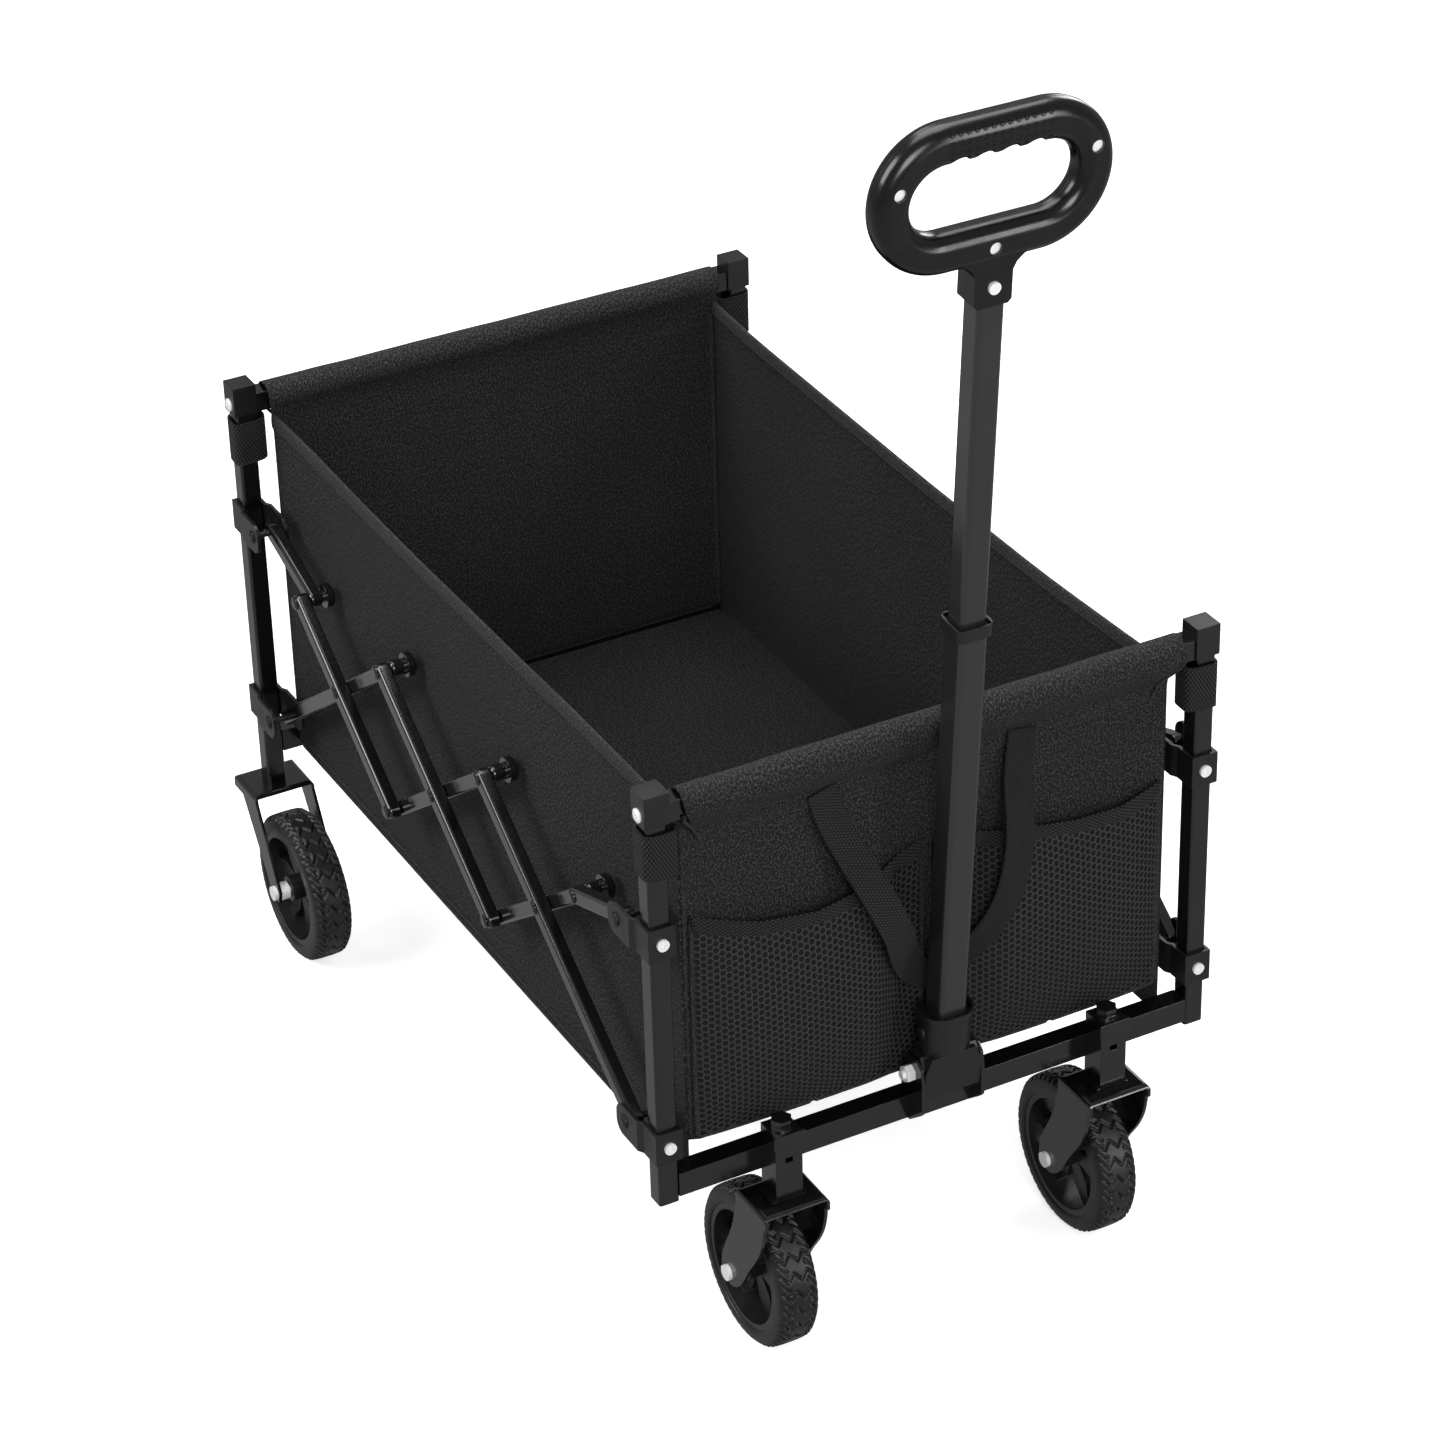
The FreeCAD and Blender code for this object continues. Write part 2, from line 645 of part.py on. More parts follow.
def wheel(label, x, y):
    """A rim with a dished web of six tapering spokes, and its tyre."""
    body = body_of(label + "_rim")
    profile = sketch_on(body, "XY_Plane", label + "_rim_profile")
    half, seat = dim("wheel_width") / 2, dim("rim_radius")
    outline(profile, [(seat - 6, -half + 1), (seat, -half + 1), (seat, half - 1), (seat - 6, half - 1)])
    ring = body.newObject("PartDesign::Revolution", label + "_ring")
    ring.Profile = profile
    ring.ReferenceAxis = (profile, ["V_Axis"])
    doc.recompute()
    hub_sketch = sketch_on(body, "XZ_Plane", label + "_hub_plan")
    circle(hub_sketch, "0", "hub_radius")
    pad(body, hub_sketch, label + "_hub", "wheel_width - 4", True)
    spoke_sketch = sketch_on(body, "XZ_Plane", label + "_spoke_plan")
    outline(spoke_sketch, [(8, -5), (30, -10), (seat - 4, -4), (seat - 4, 4), (30, 10), (8, 5)])
    spoke = pad(body, spoke_sketch, label + "_spoke", "10", True)
    spokes = body.newObject("PartDesign::PolarPattern", label + "_spokes")
    spokes.Originals = [spoke]
    spokes.Axis = (origin_of(body, "Y_Axis"), [""])
    spokes.Angle = 360
    spokes.Occurrences = 6
    body.Tip = spokes
    doc.recompute()
    bore = sketch_on(body, "XZ_Plane", label + "_bore_plan")
    circle(bore, "0", "axle_radius + pin_play")
    pocket(body, bore, label + "_bore", "3 * wheel_width")
    upright = Rotation(Vector(0, 0, 1), 90)
    body.Placement = Placement(Vector(), upright)
    keep(place(body, x, y, "wheel_radius"), f"wheel_rim_{label}")
    tyre = body_of(label + "_tyre")
    section = sketch_on(tyre, "XY_Plane", label + "_tyre_profile")
    radius = dim("wheel_radius")
    outline(
        section,
        [
            (seat, -half),
            (radius - 5, -half),
            (radius - 1, -half + 4),
            (radius, -half + 9),
            (radius, half - 9),
            (radius - 1, half - 4),
            (radius - 5, half),
            (seat, half),
        ],
    )
    turned = tyre.newObject("PartDesign::Revolution", label + "_tread")
    turned.Profile = section
    turned.ReferenceAxis = (section, ["V_Axis"])
    doc.recompute()
    tyre.Placement = Placement(Vector(), upright)
    keep(place(tyre, x, y, "wheel_radius"), f"wheel_tyre_{label}")


def axle_group(name, x, y):
    """An axle bolt with its head and nut outside the fork legs and a spacer each side of the wheel."""
    half = "fork_width / 2"
    z = "wheel_radius"
    pieces = [rod(name + "_shaft", "axle_radius", "fork_width + 4", (f"{x} - {half} - 2", y, z), "x")]
    pieces.append(rod(name + "_head", "7", "3.5", (f"{x} - {half} - 3.5", y, z), "x"))
    pieces.append(nut(name + "_nut", "13", "5", (f"{x} + {half}", y, z), "x"))
    bolt = fuse(name + "_bolt", pieces)
    spacers = []
    for k, sign in enumerate((-1, 1)):
        inner = f"{x} + ({sign}) * (wheel_width / 2 + 0.3)"
        long = "(fork_width / 2 - fork_plate) - (wheel_width / 2 + 0.3)"
        start = (inner if sign > 0 else f"{inner} - ({long})", y, z)
        sleeve = rod(f"{name}_sleeve_{k}", "8.5", long, start, "x")
        inside = rod(f"{name}_inside_{k}", "axle_radius + 0.02", long, start, "x")
        spacers.append(cut(f"{name}_spacer_{k}", sleeve, inside))
    return [bolt, *spacers]


def fork_legs(body, label, points, inner_gap):
    """A pair of plate legs: one outline padded right through the fork, then cut between the legs."""
    leg = sketch_on(body, "YZ_Plane", label + "_leg_plan")
    smooth_outline(leg, points)
    pad(body, leg, label + "_legs", "fork_width", True)
    gap = sketch_on(body, "YZ_Plane", label + "_gap_plan")
    low = min(v for _, v in points) - 5
    outline(gap, [(-150, low), (150, low), (150, -dim("fork_plate")), (-150, -dim("fork_plate"))])
    pocket(body, gap, label + "_gap", inner_gap)


def crown(body, label):
    """The flat top of a fork, its upper edges rolled."""
    sketch = sketch_on(body, "XY_Plane", label + "_crown_plan")
    rectangle(sketch, "fork_width", "crown_length")
    sheet_pad = pad(body, sketch, label + "_crown", "12")
    sheet_pad.Reversed = True
    doc.recompute()
    edge = dim("crown_length") / 2 - 0.01
    rounded(
        body,
        label + "_roll",
        "5",
        lambda b: b.ZMin > -0.01 and b.ZLength < 0.01 and (b.YMin > edge or b.YMax < -edge or b.YLength > 2 * edge),
    )


def front_fork(label, x):
    """A swivelling fork: crown under the stem, comma-shaped legs that trail back to the axle."""
    body = body_of(label)
    crown(body, label)
    down = dim("base_z") + dim("stem_foot") - AXLE_Z
    back = dim("trail")
    points = [
        (-21, -7),
        (-20, -24),
        (-10, -50),
        (6, -74),
        (back - 17, -down - 4),
        (back - 2, -down - 11),
        (back + 10, -down - 4),
        (back + 10, -down + 14),
        (back - 2, -down + 40),
        (back - 14, -22),
        (back - 19, -7),
        (0, -6),
    ]
    fork_legs(body, label, points, "fork_width - 2 * fork_plate")
    drill_fork(body, label, back, down)
    king = sketch_on(body, "XY_Plane", label + "_king_plan")
    circle(king, "0", "king_radius + pin_play")
    pocket(body, king, label + "_king_hole", "3 * fork_plate")
    keep(place(body, x, stem_y, "base_z + stem_foot"), label)


def drill_fork(body, label, y, down):
    """The axle's hole through both legs."""
    holes = sketch_on(body, "YZ_Plane", label + "_axle_plan")
    index = holes.addGeometry(Part.Circle(Vector(y, -down), Vector(0, 0, 1), dim("axle_radius") + 0.02), False)
    holes.addConstraint(Sketcher.Constraint("Block", index))
    pocket(body, holes, label + "_axle_hole", "2 * fork_width")


def rear_fork(label, x):
    """A fixed fork: crown under the rear post, straight legs that taper forward to the axle."""
    body = body_of(label)
    crown(body, label)
    down = dim("base_z") - dim("rear_drop") - AXLE_Z
    ahead = -dim("rear_sweep")
    leg = sketch_on(body, "YZ_Plane", label + "_leg_plan")
    outline(
        leg,
        [
            (-24, -6),
            (ahead - 9, -down + 3),
            (ahead - 6, -down - 8),
            (ahead + 6, -down - 9),
            (ahead + 10, -down - 1),
            (10, -6),
        ],
    )
    pad(body, leg, label + "_legs", "fork_width", True)
    gap = sketch_on(body, "YZ_Plane", label + "_gap_plan")
    outline(gap, [(-150, -down - 20), (150, -down - 20), (150, -dim("fork_plate")), (-150, -dim("fork_plate"))])
    pocket(body, gap, label + "_gap", "fork_width - 2 * fork_plate")
    drill_fork(body, label, ahead, down)
    return place(body, x, "mid_y + half_length", "base_z - rear_drop")


for side, hand in SIDES:
    front_fork(f"front_fork_{side}", f"({hand}) * stem_x")
    axle_y = f"{stem_y} + trail"
    keep(
        group(f"axle_{side}", axle_group(f"front_axle_{side}", f"({hand}) * stem_x", axle_y)),
        f"front_axle_{side}",
    )
    wheel(f"front_{side}", f"({hand}) * stem_x", axle_y)
    wheel(f"rear_{side}", f"({hand}) * half_width", "mid_y + half_length - rear_sweep")
rear_x = [f"({hand}) * half_width" for _, hand in SIDES]
keep(group("forks_rear", [rear_fork(f"rear_fork_{k}", x) for k, x in enumerate(rear_x)]), "rear_forks")
rear_axles = []
for k, x in enumerate(rear_x):
    rear_axles += axle_group(f"rear_axle_{k}", x, "mid_y + half_length - rear_sweep")
keep(group("axles_rear", rear_axles), "rear_axles")


def caster_stem(name, x):
    """A square tube ahead of the lower tube, closed on top, with a flanged foot, a lip and a slot."""
    z = "base_z + stem_foot + king_play"
    tall = "stem_top - stem_foot - king_play"
    inside = ("stem_size - 4", "stem_size - 4", f"{tall} - 3")
    front = f"{stem_y} - stem_size / 2"
    walls = [
        block(name + "_outer", ("stem_size", "stem_size", tall), (x, stem_y, z)),
        block(name + "_foot", ("stem_size + 6", "stem_size", "2.5"), (x, stem_y, z)),
        block(name + "_lip", ("stem_size + 4", "4", "12"), (x, front, "base_z + stem_top - 12")),
    ]
    hollow = block(name + "_inside", inside, (x, stem_y, z))
    slot = block(name + "_slot", ("7", "stem_size / 2", "5"), (x, front, "base_z + 21"))
    bore = rod(name + "_bore", "king_radius + 0.02", "2 * stem_top", (x, stem_y, z))
    shell = cut(name + "_shell", fuse(name + "_walls", walls), hollow)
    return cut(name, cut(name + "_slotted", shell, slot), bore)


def king_bolt(name, x):
    """The bolt that the fork turns on: hex head and washer above the stem, nut under the crown."""
    top = "base_z + stem_top"
    under = "base_z + stem_foot - fork_plate - king_play"
    shank = rod(name + "_shank", "king_radius", f"{top} - ({under}) + 2", (x, stem_y, under))
    washer = rod(name + "_washer", "10.5", "1.6", (x, stem_y, top))
    head = nut(name + "_head", "16", "6.5", (x, stem_y, f"{top} + 1.6"))
    lock = nut(name + "_nut", "15", "6", (x, stem_y, f"{under} - 6"))
    return fuse(name, [shank, washer, head, lock])


stems = [caster_stem(f"stem_{side}", f"({hand}) * stem_x") for side, hand in SIDES]
bolts = [king_bolt(f"king_bolt_{side}", f"({hand}) * stem_x") for side, hand in SIDES]
keep(group("stems_and_bolts", stems + bolts), "caster_stems")

# ---------------------------------------------------------------- pull handle

handle_turn = Rotation(Vector(1, 0, 0), dim("handle_lean"))
handle_at = Vector(0, dim("mid_y") - dim("handle_y"), dim("base_z") + dim("handle_z"))


def on_handle(item, label):
    """Finish a piece drawn in the handle's own frame: z up the tube from the pivot, y to the rear."""
    item.Placement = Placement(handle_at, handle_turn)
    return keep(item, label)


def clevis():
    """A plate bent to a U on the lower tube; its ears stand up each side of the handle's foot."""
    body = body_of("clevis")
    tube_front = dim("handle_y") - dim("half_length") - dim("post_size") / 2
    tube_top = dim("low_tube_z") + dim("low_tube_height") / 2 - dim("handle_z") + 0.1
    foot = dim("low_tube_z") - dim("low_tube_height") / 2 - dim("handle_z")
    plan = sketch_on(body, "YZ_Plane", "clevis_side")
    outline(
        plan,
        [
            (tube_front, foot),
            (tube_front - 3, foot),
            (-14, -36),
            (-17, -32),
            (-17, -4),
            (-15, 9),
            (-6, 15),
            (6, 15),
            (15, 8),
            (17, tube_top),
            (tube_front, tube_top),
        ],
    )
    pad(body, plan, "clevis_ears", "clevis_gap + 2 * bracket_wall", True)
    gap = sketch_on(body, "YZ_Plane", "clevis_gap_plan")
    outline(gap, [(tube_front - 3, foot - 1), (-30, foot - 1), (-30, 20), (tube_front - 3, 20)])
    pocket(body, gap, "clevis_between", "clevis_gap")
    above = sketch_on(body, "YZ_Plane", "clevis_above_plan")
    outline(above, [(tube_front - 3, tube_top), (30, tube_top), (30, 20), (tube_front - 3, 20)])
    pocket(body, above, "clevis_above", "clevis_gap")
    hole = sketch_on(body, "YZ_Plane", "clevis_hole_plan")
    circle(hole, "0", "axle_radius + 0.02")
    pocket(body, hole, "clevis_hole", "100")
    body.Placement = Placement(handle_at, Rotation())
    keep(body, "handle_clevis")


def pivot_bolt():
    """The bolt through the clevis, with a hex head on one side and a lock nut on the other."""
    half = "clevis_gap / 2 + bracket_wall"
    shaft = rod("pivot_shaft", "axle_radius", f"2 * ({half}) + 12", (f"0 - ({half}) - 10", "0", "0"), "x")
    head = nut("pivot_head", "13", "5", (half, "0", "0"), "x")
    lock = nut("pivot_lock", "13", "7", (f"0 - ({half}) - 7", "0", "0"), "x")
    item = fuse("pivot_bolt", [shaft, head, lock])
    item.Placement = Placement(handle_at, Rotation())
    keep(item, "handle_pivot_bolt")


def handle_socket():
    """The moulded foot of the handle: a cross barrel on the bolt, a flared column and an oval rim."""
    body = body_of("socket")
    column = sketch_on(body, "XY_Plane", "socket_plan", "0")
    stadium(column, "10", "17", "5")
    pad(body, column, "socket_column", "56")
    rim = sketch_on(body, "XY_Plane", "socket_rim_plan", "52")
    stadium(rim, "10", "18.5", "5")
    pad(body, rim, "socket_rim", "6")
    barrel = sketch_on(body, "YZ_Plane", "socket_barrel_plan")
    circle(barrel, "0", "13")
    pad(body, barrel, "socket_barrel", "barrel", True)
    skirt = sketch_on(body, "YZ_Plane", "socket_skirt_plan")
    outline(skirt, [(-13, 0), (13, 0), (13, 8), (7, 18), (-7, 18), (-13, 8)])
    pad(body, skirt, "socket_skirt", "barrel", True)
    front = sketch_on(body, "XZ_Plane", "socket_front_plan", "12")
    edge = dim("barrel") / 2
    outline(front, [(-edge, -19), (edge, -19), (edge, 6), (21, 20), (-21, 20), (-edge, 6)])
    pad(body, front, "socket_front", "5")
    mouth = sketch_on(body, "XY_Plane", "socket_mouth_plan", "58")
    stadium(mouth, "10", "16.3", "5")
    pocket(body, mouth, "socket_mouth", "6", False)
    socket = sketch_on(body, "XY_Plane", "socket_hole_plan", "low_handle_from")
    rectangle(socket, "low_handle + 0.04", "low_handle + 0.04")
    pocket(body, socket, "socket_hollow", "60", False, True)
    bore = sketch_on(body, "YZ_Plane", "socket_bore_plan")
    circle(bore, "0", "axle_radius + pin_play")
    pocket(body, bore, "socket_bore", "60")
    rivet = fuse("socket_rivet", domed_head("socket_rivet", -1, "-22", "0", "38"))
    return on_handle(group("handle_socket_group", [body, rivet]), "handle_socket")


def handle_tube(name, size, start, stop, corner, label):
    """One telescoping tube of the handle."""
    long = f"{stop} - {start}"
    tube = extruded_tube(name, size, size, "handle_wall", long, None, ("0", "0", start), corner)
    return on_handle(group(name + "_up", [tube]), label)


def collar():
    """The moulded ring on the lower tube's mouth that guides the upper tube."""
    body = body_of("collar")
    lower = sketch_on(body, "XY_Plane", "collar_plan", "low_handle_to - 5")
    rectangle(lower, "low_handle + 6", "low_handle + 6")
    pad(body, lower, "collar_block", "11")
    rounded(body, "collar_corners", "7", lambda b: b.ZLength > 10)
    seat = sketch_on(body, "XY_Plane", "collar_seat_plan", "low_handle_to - 6")
    rectangle(seat, "low_handle + 0.04", "low_handle + 0.04")
    pocket(body, seat, "collar_seat", "6", False, True)
    guide = sketch_on(body, "XY_Plane", "collar_guide_plan", "low_handle_to")
    rectangle(guide, "high_handle + 0.6", "high_handle + 0.6")
    pocket(body, guide, "collar_guide", "60")
    mouth = sketch_on(body, "XY_Plane", "collar_mouth_plan", "low_handle_to + 6")
    rectangle(mouth, "high_handle + 5", "high_handle + 5")
    pocket(body, mouth, "collar_mouth", "4", False)
    return on_handle(group("collar_up", [body]), "handle_collar")


GROOVES = 4
GROOVE_STEP = 21.0


def grip_shell(name, way, label):
    """Half of the moulded grip: an oval ring and its neck, rounded outside, with finger grooves."""
    body = body_of(name)
    mid = dim("grip_mid")
    ring = sketch_on(body, "XZ_Plane", name + "_ring_plan")
    bind(ring, AttachmentOffset__Base__y="grip_mid")
    stadium(ring, "grip_width - grip_height", "grip_height / 2", "(grip_width - grip_height) / 2")
    stadium(ring, "hand_width - hand_height", "hand_height / 2", "(hand_width - hand_height) / 2")
    shell = pad(body, ring, name + "_ring", "grip_half")
    shell.Reversed = way > 0
    doc.recompute()
    face = way * dim("grip_half")
    rounded(body, name + "_round", "11", lambda b: abs(b.Center.y - face) < 0.01 and b.YLength < 0.01)
    neck = sketch_on(body, "XZ_Plane", name + "_neck_plan")
    foot, ring_foot = dim("grip_from"), mid - dim("grip_height") / 2
    half_neck = [(13, foot), (16, foot + 3), (16, ring_foot - 7), (19, ring_foot - 1), (30, ring_foot + 8)]
    outline(neck, half_neck + [(-x, z) for x, z in reversed(half_neck)])
    stalk = pad(body, neck, name + "_neck", "grip_half - 1")
    stalk.Reversed = way > 0
    doc.recompute()
    grooves = sketch_on(body, "XZ_Plane", name + "_groove_plan")
    for k in range(GROOVES):
        spot = Vector(GROOVE_STEP * (k - (GROOVES - 1) / 2), mid + dim("hand_height") / 2 - 3)
        index = grooves.addGeometry(Part.Circle(spot, Vector(0, 0, 1), GROOVE_STEP / 2 - 0.5), False)
        grooves.addConstraint(Sketcher.Constraint("Block", index))
    pocket(body, grooves, name + "_grooves", "3 * grip_half")
    socket = sketch_on(body, "XY_Plane", name + "_tube_plan", "high_handle_to + 0.2")
    rectangle(socket, "high_handle + 0.04", "high_handle + 0.04")
    pocket(body, socket, name + "_tube_seat", "high_handle_to - grip_from + 1", False)
    if way < 0:
        screws = sketch_on(body, "XZ_Plane", name + "_screw_plan", "grip_half - screw_sink")
        for x, z, _ in screw_places()[:3]:
            ring_edge = Part.Circle(Vector(x, z), Vector(0, 0, 1), dim("screw_head") + 0.1)
            index = screws.addGeometry(ring_edge, False)
            screws.addConstraint(Sketcher.Constraint("Block", index))
        pocket(body, screws, name + "_screw_recess", "grip_half", False, True)
    return on_handle(group(name + "_up", [body]), label)


def screw_places():
    """The grip's screws as x, z and seat depth: three sunk in the ring, one flush on the neck."""
    mid, sunk = dim("grip_mid"), dim("grip_half") - dim("screw_sink")
    beside = (dim("grip_width") + dim("hand_width")) / 4 - 3
    below = mid - (dim("grip_height") + dim("hand_height")) / 4
    on_neck = (0, dim("grip_from") + 16, dim("grip_half") - 1)
    return [(-beside, mid + 17, sunk), (beside, mid + 17, sunk), (0, below - 2, sunk), on_neck]


def grip_screws():
    """Pan-head screws sunk in the grip's front shell."""
    screws = []
    for k, (x, z, seat) in enumerate(screw_places()):
        start = (str(x), f"-({seat}) - 2.5", str(z))
        screws.append(rod(f"grip_screw_{k}", "screw_head", "2.5", start, "y"))
    return on_handle(group("grip_screws_up", screws), "grip_screws")


clevis()
pivot_bolt()
handle_socket()
handle_tube("low_tube", "low_handle", "low_handle_from", "low_handle_to", 5, "handle_lower_tube")
handle_tube("high_tube", "high_handle", "high_handle_from", "high_handle_to", 4, "handle_upper_tube")
collar()
grip_shell("grip_front", -1, "grip_shell_front")
grip_shell("grip_back", 1, "grip_shell_back")
grip_screws()

# ---------------------------------------------------------------- fabric tub


def end_panel(end, way):
    """A fabric end wall hanging from a sleeve round the top tube."""
    y = f"mid_y + ({way}) * (tub_half_length - cloth / 2)"
    width = "2 * (tub_half_width - cloth - 0.3)"
    tall = "top_tube_z - end_foot"
    wall = block(f"wall_{end}", (width, "cloth", tall), ("0", y, "base_z + end_foot"))
    post_y = f"mid_y + ({way}) * half_length"
    start = ("-sleeve_half", post_y, "base_z + top_tube_z")
    sleeve = rod(f"sleeve_{end}", "sleeve_radius", "2 * sleeve_half", start, "x")
    across = "post_size + 0.1"
    tube = block(
        f"sleeve_{end}_tube",
        ("3 * sleeve_half", across, across),
        ("0", post_y, "base_z + top_tube_z - (post_size + 0.1) / 2"),
    )
    keep(cut(f"panel_{end}", fuse(f"panel_{end}_solid", [wall, sleeve]), tube), f"tub_{end}_panel")


def side_panel(side, hand):
    """A fabric side wall between the end frames."""
    x = f"({hand}) * (tub_half_width - cloth / 2)"
    size = ("cloth", "2 * (tub_half_length - cloth) - 1", "side_top - side_foot")
    keep(block(f"side_{side}", size, (x, "mid_y", "base_z + side_foot")), f"tub_{side}_panel")


def floor_board():
    """The padded board that the load stands on."""
    size = ("2 * (tub_half_width - cloth) - 1", "2 * (tub_half_length - cloth) - 2", "floor_thick")
    keep(block("floor", size, ("0", "mid_y", "base_z + floor_top - floor_thick")), "tub_floor")


def mesh_pocket(side, hand):
    """A pocket on the front panel: a wall that bulges out, open at the top."""
    body = body_of(f"pocket_{side}")
    wall = dim("pocket_wall")
    foot = dim("end_foot") + 2
    back = -dim("tub_half_length") - 0.2
    outer = [(back, foot), (back - 12, foot), (back - 14, foot + 20), (back - 26, foot + 62)]
    outer += [(back - 27, foot + 160), (back - 12, foot + 196), (back, foot + 196)]
    inner = [(back - wall, foot + wall), (back - 12 + wall, foot + wall), (back - 14 + wall, foot + 20)]
    inner += [(back - 26 + wall, foot + 62), (back - 27 + wall, foot + 160), (back - 12 + wall, foot + 200)]
    inner += [(back - wall, foot + 200)]
    shape = sketch_on(body, "YZ_Plane", f"pocket_{side}_side")
    outline(shape, outer)
    pad(body, shape, f"pocket_{side}_pad", "pocket_out - pocket_in", True)
    hollow = sketch_on(body, "YZ_Plane", f"pocket_{side}_inside")
    outline(hollow, inner)
    pocket(body, hollow, f"pocket_{side}_hollow", "pocket_out - pocket_in - 2 * pocket_wall")
    return place(body, f"({hand}) * (pocket_in + pocket_out) / 2", "mid_y", "base_z")


for end, way in (("front", -1), ("rear", 1)):
    end_panel(end, way)
for side, hand in SIDES:
    side_panel(side, hand)
floor_board()
keep(group("pockets", [mesh_pocket(side, hand) for side, hand in SIDES]), "tub_front_pockets")

# ---------------------------------------------------------------- checks and files

doc.recompute()
for item in doc.Objects:
    if {"Invalid", "Error"} & set(item.State):
        raise RuntimeError(f"{item.Name} is {item.State}")
for item in finished:
    if item.Shape.isNull() or not item.Shape.isValid() or not item.Shape.Solids:
        raise RuntimeError(f"{item.Label} has no valid solid")

os.makedirs("parts", exist_ok=True)
for item in finished:
    item.Shape.exportStep(f"parts/{item.Label}.step")
print(len(finished), "sub-parts written")
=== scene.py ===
import json
import math

import bpy
import numpy as np
from mathutils import Matrix, Vector


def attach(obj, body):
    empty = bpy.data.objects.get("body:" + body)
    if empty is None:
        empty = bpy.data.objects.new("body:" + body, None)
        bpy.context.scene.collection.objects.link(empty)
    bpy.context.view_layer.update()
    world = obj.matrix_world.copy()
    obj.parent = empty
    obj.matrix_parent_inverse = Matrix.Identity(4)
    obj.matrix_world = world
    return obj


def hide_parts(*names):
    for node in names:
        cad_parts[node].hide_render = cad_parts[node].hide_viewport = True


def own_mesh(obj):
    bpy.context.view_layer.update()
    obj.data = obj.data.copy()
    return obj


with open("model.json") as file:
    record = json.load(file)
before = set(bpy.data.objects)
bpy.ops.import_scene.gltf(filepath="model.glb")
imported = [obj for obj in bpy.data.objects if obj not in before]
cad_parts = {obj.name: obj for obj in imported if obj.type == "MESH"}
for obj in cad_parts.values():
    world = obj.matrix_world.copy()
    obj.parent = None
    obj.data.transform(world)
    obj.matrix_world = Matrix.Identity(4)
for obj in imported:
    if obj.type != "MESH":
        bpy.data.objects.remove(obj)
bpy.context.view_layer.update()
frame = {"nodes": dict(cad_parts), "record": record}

# ---------------------------------------------------------------- sizes, metres

MID = 0.0355            # middle plane between the end frames
BASE = 0.186            # foot of a front post
HALF_LENGTH = 0.3945    # middle plane to a post's centre
HALF_WIDTH = 0.250      # centre plane to a post's centre
TUBE_Z = BASE + 0.368   # centre of the top tubes
HALF_TUB = 0.2235       # centre plane to the middle of a side panel's cloth
END_TUB = 0.3865        # middle plane to the middle of an end panel's cloth
FLOOR_TOP = BASE + 0.025
WHEEL_R = 0.0715
PIVOT = Vector((0, MID - 0.410, BASE + 0.054))  # the handle's
LEAN = math.radians(4.5)  # the handle ahead of upright
GRIP_MIDDLE = 0.809     # handle's pivot to the middle of the grip's ring
STEP_LENGTH = 0.042     # how far the raised front edge of the tub's bottom reaches back
SLEEVE_RADIUS = 0.0128  # cloth round a top tube, middle of its thickness
SLEEVE_HALF = 0.2275    # half the sleeve's length
FLAP_HALF = 0.206       # half the flap's lower edge
FLAP_FOOT = TUBE_Z - 0.043
WALL_HALF = 0.2230      # half an end panel's width under the sleeve
CLOTH_THICK = 0.0016
POCKET_BULGE = 0.0235   # how far a mesh pocket stands out
POCKET_FOOT = BASE + 0.045
STRAP_WIDTH = 0.027
TYRE_HALF = 0.0182      # half the tyre's width
TREAD_COUNT = 27        # blocks round a tyre
TREAD_DEPTH = 0.0024
SIDES = (("left", -1), ("right", 1))

# ---------------------------------------------------------------- mesh builders


def add_mesh(name, points, faces, material, uv=None):
    """A mesh object from points (k, 3), quads (f, 4) and one uv pair per point."""
    mesh = bpy.data.meshes.new(name)
    mesh.from_pydata(points.tolist(), [], faces.tolist())
    mesh.polygons.foreach_set("use_smooth", np.ones(len(faces), bool))
    if uv is not None:
        layer = mesh.uv_layers.new(name="cloth")
        layer.data.foreach_set("uv", uv[faces.ravel()].astype(np.float32).ravel())
    mesh.materials.append(material)
    mesh.update()
    item = bpy.data.objects.new(name, mesh)
    bpy.context.scene.collection.objects.link(item)
    return item


def quads(rows, columns, wrap_rows=False, wrap_columns=False):
    """Corner numbers of the quads of a grid whose point (i, j) is number i * columns + j."""
    i = np.arange(rows if wrap_rows else rows - 1)
    j = np.arange(columns if wrap_columns else columns - 1)
    i, j = np.meshgrid(i, j, indexing="ij")
    i2, j2 = (i + 1) % rows, (j + 1) % columns
    corners = [i * columns + j, i2 * columns + j, i2 * columns + j2, i * columns + j2]
    return np.stack(corners, -1).reshape(-1, 4)


def lengths(points, axis):
    """Running length along one axis of a grid of points."""
    step = np.linalg.norm(np.diff(points, axis=axis), axis=-1)
    start = np.zeros_like(np.take(step, [0], axis=axis))
    return np.cumsum(np.concatenate([start, step], axis=axis), axis=axis)


def grid_normals(points, wrap_rows=False):
    """Unit normals of a grid: the cross product of its two running directions."""
    if wrap_rows:
        along = np.roll(points, -1, 0) - np.roll(points, 1, 0)
    else:
        along = np.gradient(points, axis=0)
    across = np.gradient(points, axis=1)
    normal = np.cross(along, across)
    return normal / np.maximum(np.linalg.norm(normal, axis=-1, keepdims=True), 1e-12)


